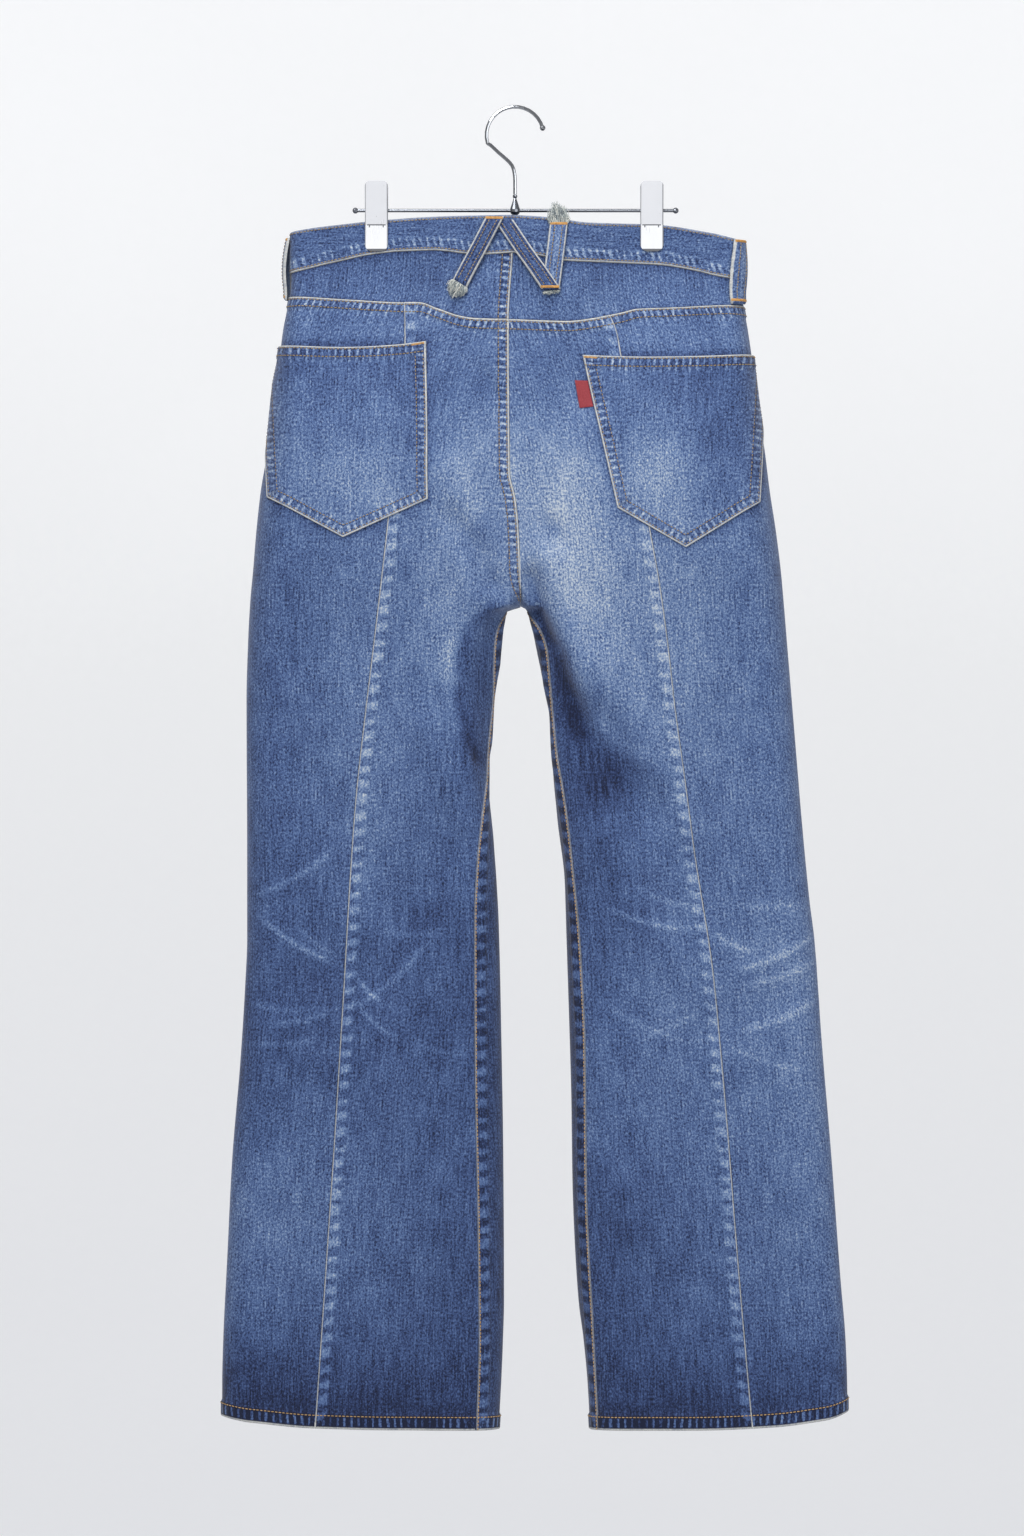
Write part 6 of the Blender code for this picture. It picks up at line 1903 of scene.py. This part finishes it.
def finish_loop(name, inner, normal, offset, run, width, looks, tacks, fade):
    """A loop's strip, with two lines of stitches and its bartacks."""
    offset, run = np.broadcast_arrays(offset, run)
    near, zero = width / 2 - np.abs(offset), 0 * offset
    edge = np.minimum(near, np.minimum(run, run.max() - run))
    thick = LOOP_CLOTH * (0.45 + 0.55 * rounded(edge, 1.1))
    crown = 0.25 * (1 - (2 * offset / width) ** 2)
    outer = inner + normal * (thick + crown)[..., None]
    # The loop is paler down its middle and darker towards its edges.
    piece = shell(name.replace("loop_", "cloth_loop_"), inner, outer, {
        "fade": fade + 0.10 * np.exp(-((offset / 2.0) ** 2)) - 0.08 * np.exp(-edge / 1.6),
        "along": np.stack([run, near, zero + 3.1], axis=-1), "inside": zero,
        "seam": np.stack([zero, zero + 0.95, zero], axis=-1),
        "weave": np.stack([offset, run, zero], axis=-1),
    }, looks["denim"], coarse=1)
    dress(piece, name)
    lines, bars = [], []
    for share in LOOP_STITCH:
        low, part = divmod(share * (outer.shape[1] - 1), 1)
        low = int(low)
        line = outer[:, low] * (1 - part) + outer[:, low + 1] * part
        lines.append((line[2:-2] + normal[2:-2, low] * 0.2, normal[2:-2, low]))
    sewn = [sew(f"stitches_{name}", lines, looks["brown"], pitch=2.9, length=2.3)]
    for spot in tacks:
        k = int(round(spot * (len(outer) - 1)))
        facing = normal[k, 1:-1]
        bars.append((outer[k, 1:-1] + facing * THREAD_LIFT, facing))
    sewn.append(sew(f"tacks_{name}", bars, looks["orange"], across=True, pitch=0.5, length=2.6,
                    radius=0.36))


def side_loop(name, half, places, drops, bow, looks):
    """A loop that hangs down over the waistband by a side or on the front."""
    t, s = LOOP_DOWN, LOOP_OVER
    shares = shares_of(half, places[0] + (places[1] - places[0]) * t + LOOP_WIDTH * s,
                       LOOP_DROP)
    drop = drops[0] + (drops[1] - drops[0]) * t + 0 * shares
    clear = BAND_CLOTH + LAY_GAP + 0.4 + bow * np.sin(math.pi * t)
    base, normal = half.points(drop, shares)
    inner = base + normal * clear[..., None]
    finish_loop(name, inner, normal, s * LOOP_WIDTH, t * (drops[1] - drops[0]),
                LOOP_WIDTH, looks, (0.03, 0.96), SIDE_LOOP_TONE)


def build_loops(looks):
    over = LOOP_CLOTH + LAY_GAP
    for word, upper, lower, wider, lifts, level_low, tack, fade in (
        ("slant_left", (-17.8, 98.8), (-49, 160), 0.0, (over, 0.0), False, 0.03, LOOP_TONE),
        ("slant_right", (-10.4, 101.5), (31.8, 165.4), 0.0, (0.0, over), True, 0.985, LOOP_TONE),
        ("upright", (39.2, 103.6), (31.8, 164.4), 1.4, (0.0, 0.0), True, 0.03, WORN_LOOP_TONE),
    ):
        slant_loop(f"loop_back_{word}", upper, lower, LOOP_WIDTH + wider, lifts, level_low,
                   looks, tack, fade)
    for word, half, places, drops, bow in (
        ("side_left", LEFT, (-2.0, -2.0), (117, 174), 3.4),
        ("side_right", RIGHT, (7.0, 15.5), (119, 178), LOOP_BOW),
        ("front_left", LEFT, (-128.0, -128.0), (107, 158), LOOP_BOW),
        ("front_right", RIGHT, (-128.0, -128.0), (108, 159), LOOP_BOW),
    ):
        side_loop(f"loop_{word}", half, places, drops, bow, looks)


TUFT_SIDES = 4
TUFT_STEPS = 9


def tuft(name, node, half, root, tip, width, length, plump, rise, count, seed, looks):
    """Loose curled threads from a loop's torn end, bulging out as if round a soft packed core."""
    chance = np.random.default_rng(seed)
    drop = np.array([root[1]])
    base, normal = half.points(drop, locate(half, root[:1], drop))
    out = normal[0]
    place = base[0] + out * (BAND_CLOTH + LAY_GAP)
    along = np.array((tip[0] - root[0], 0, root[1] - tip[1]))
    along = along - out * np.dot(along, out)
    along /= np.linalg.norm(along)
    over = np.cross(along, out)
    t = np.linspace(0, 1, TUFT_STEPS)
    turn = (np.arange(TUFT_SIDES) * 2 * math.pi / TUFT_SIDES)[None, :, None]
    points, tones = [], []
    for number in range(count):
        across, deep = chance.uniform(-0.5, 0.5), chance.uniform(0.05, 0.95)
        reach = length * chance.uniform(0.35, 1.05) * (1 - 0.4 * abs(2 * across) ** 2)
        swing, curl = chance.uniform(0, 2 * math.pi), chance.uniform(0.2, 1.0)
        radius = chance.uniform(0.17, 0.32)
        bend, spread = chance.uniform(3.5, 8.5), chance.uniform(0.5, 1.25)
        if number % 6 == 0:
            reach, curl = reach * 1.22, curl * 0.8 + 0.7
        tones.append(np.full(TUFT_SIDES * TUFT_STEPS, chance.uniform(0.05, 1.0)))
        belly = spread * np.sin(math.pi * np.minimum(1.0, t * 0.8 + 0.1))
        wobble = curl * 1.9 * t ** 0.7
        wide = across * width * (1 + plump * belly) + wobble * np.cos(swing + bend * t)
        high = LOOP_CLOTH * deep + (plump * 4.2 * belly * (0.25 + deep)) * t ** 0.5
        high = high + rise * reach * t + 0.7 * wobble * np.sin(swing + bend * t)
        far = reach * (t - 0.25 * curl * t ** 3)
        path = place + np.outer(wide, over) + np.outer(high, out) + np.outer(far, along)
        line = np.gradient(path, axis=0)
        line /= np.linalg.norm(line, axis=1, keepdims=True)
        first = np.cross(line, out)
        first /= np.linalg.norm(first, axis=1, keepdims=True) + 1e-9
        second = np.cross(line, first)
        swell = radius * np.linspace(1.0, 0.55, TUFT_STEPS)[:, None, None]
        ring = first[:, None] * np.cos(turn) + second[:, None] * np.sin(turn)
        points.append((path[:, None] + swell * ring).reshape(-1, 3))
    mesh = thread_mesh(name, np.concatenate(points), tube_faces(count, TUFT_STEPS, TUFT_SIDES))
    strand = mesh.attributes.new("strand", "FLOAT", "POINT")
    strand.data.foreach_set("value", np.concatenate(tones))
    return dress(add(name, mesh, looks["cotton"]), node)


# The room, in metres

WORLD_STRENGTH = 0.62
# The wall's glow is painted light: how brightly it shines in its own colour.
WALL_GLOW = 0.32
WALL_Y = 6.0
WALL_CURVE = 1.5
WALL_TOP = 5.0
WALL_HALF = 9.0
FLOOR_Y = -3.0
FLOOR_Z = -1.75
WORLD_GREY = (0.80, 0.80, 0.81, 1)
LIGHTS = (
    # name, place, aim, size, watts
    ("key", (-0.9, -2.7, 1.8), (0, 0, -0.5), (1.5, 1.0), 120.0),
    ("fill", (1.9, -3.0, -0.3), (0, 0, -0.8), (1.6, 2.0), 42.0),
    ("top", (0.2, -0.6, 1.9), (0, 0, -0.3), (1.6, 0.8), 34.0),
)


def soft_light(name, place, aim, size, watts):
    data = bpy.data.lights.new(name, "AREA")
    data.shape = "RECTANGLE"
    data.size, data.size_y = size
    data.energy = watts
    made = link(name, data)
    made.location = place
    made.rotation_euler = (Vector(aim) - Vector(place)).to_track_quat("-Z", "Y").to_euler()


def build_room():
    world = bpy.data.worlds.new("room")
    bpy.context.scene.world = world
    world.use_nodes = True
    ground = world.node_tree.nodes["Background"]
    ground.inputs["Color"].default_value = WORLD_GREY
    ground.inputs["Strength"].default_value = WORLD_STRENGTH
    wall = Look("wall", 0.9)
    where = wall.place()
    cloudy = wall.noise(where, 1.2, 3.0)
    plaster = wall.noise(where, 60.0, 3.0)
    # Painted light: the wall is darker towards the floor and lighter towards its top, as the light
    # falls off, and it glows in that colour.
    height = wall.step(wall.split(where)[2], -2.0, 1.1)
    wall_colour_and_falloff = wall.ramp(wall.add(height, wall.times(cloudy, 0.2), wall.times(plaster, 0.1)),
                      ((0.0, 214, 215, 218), (0.5, 221, 222, 223), (1.0, 237, 238, 239)))
    wall.colour(wall_colour_and_falloff)
    wall.put(wall.shader.inputs["Emission Color"], wall_colour_and_falloff)
    wall.shader.inputs["Emission Strength"].default_value = WALL_GLOW
    wall.bump(plaster, 0.05, 0.002)
    behind = wall.tree.nodes.new("ShaderNodeNewGeometry").outputs["Backfacing"]
    wall.put(wall.shader.inputs["Alpha"], wall.less(1.0, behind))
    start = WALL_Y - WALL_CURVE
    profile = [(FLOOR_Y, FLOOR_Z), (start, FLOOR_Z)]
    profile += [(start + WALL_CURVE * math.sin(a), FLOOR_Z + WALL_CURVE * (1 - math.cos(a)))
                for a in np.linspace(0, math.pi / 2, 24)[1:]]
    profile += [(WALL_Y, WALL_TOP)]
    points = [(x, y, z) for x in (-WALL_HALF, WALL_HALF) for y, z in profile]
    n = len(profile)
    faces = [(k, n + k, n + k + 1, k + 1) for k in range(n - 1)]
    mesh = bpy.data.meshes.new("room_wall")
    mesh.from_pydata(points, [], faces)
    mesh.shade_smooth()
    add("room_wall", mesh, wall.material)
    for row in LIGHTS:
        soft_light(*row)


CAMERA_PLACE = (-0.0027, -7.0, -0.595)
LENS = 181.8


def build_camera():
    data = bpy.data.cameras.new("camera")
    data.lens = LENS
    data.sensor_width = 36.0
    data.sensor_fit = "AUTO"
    made = link("camera", data)
    made.location = CAMERA_PLACE
    made.rotation_euler = (math.pi / 2, 0, 0)
    bpy.context.scene.camera = made


def paint_hanger(nodes):
    """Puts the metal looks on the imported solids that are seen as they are."""
    chrome = metal_look("chrome", (150, 153, 158), 0.16).material
    wire = metal_look("bar_wire", (112, 115, 121), 0.3).material
    plate = clip_look()
    copper = metal_look("worn_copper", (188, 140, 104), 0.32).material
    for name, node in nodes.items():
        if name == "hanger_bar":
            look = wire
        elif name == "button":
            look = copper
        elif name.startswith("hanger_") or name.endswith("_sleeve"):
            look = chrome
        elif name.startswith("clip_"):
            look = plate
        else:
            continue
        for k in range(len(node.data.materials)):
            node.data.materials[k] = look


def clear_scene():
    for made in list(bpy.data.objects):
        bpy.data.objects.remove(made)


def main():
    clear_scene()
    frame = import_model()
    looks = {
        "denim": denim_look(),
        "brown": thread_look("thread_brown", (156, 134, 98)),
        "amber": thread_look("thread_amber", (190, 152, 100)),
        "orange": thread_look("thread_orange", (212, 156, 80)),
        "cotton": tuft_look(),
        "tape": tape_look(),
    }
    build_camera()
    build_room()
    bpy.context.scene.view_settings.view_transform = "Standard"
    paint_hanger(frame["nodes"])
    build_legs(looks)
    build_band(looks)
    build_loops(looks)
    tuft("tuft_slant", "fray_slant", LEFT, (-48.4, 160.0), (-56, 172), 12.5, 17.0, 0.5,
         0.03, 230, 3, looks)
    tuft("tuft_upright", "fray_upright", RIGHT, (39.2, 106.0), (36.5, 80), 14.0, 25.0,
         0.4, -0.10, 240, 8, looks)
    tuft("fray_lip", None, RIGHT, (32.4, 166.5), (32.8, 170), 15.0, 4.6, 0.0, 0.25, 70, 4,
         looks)


main()
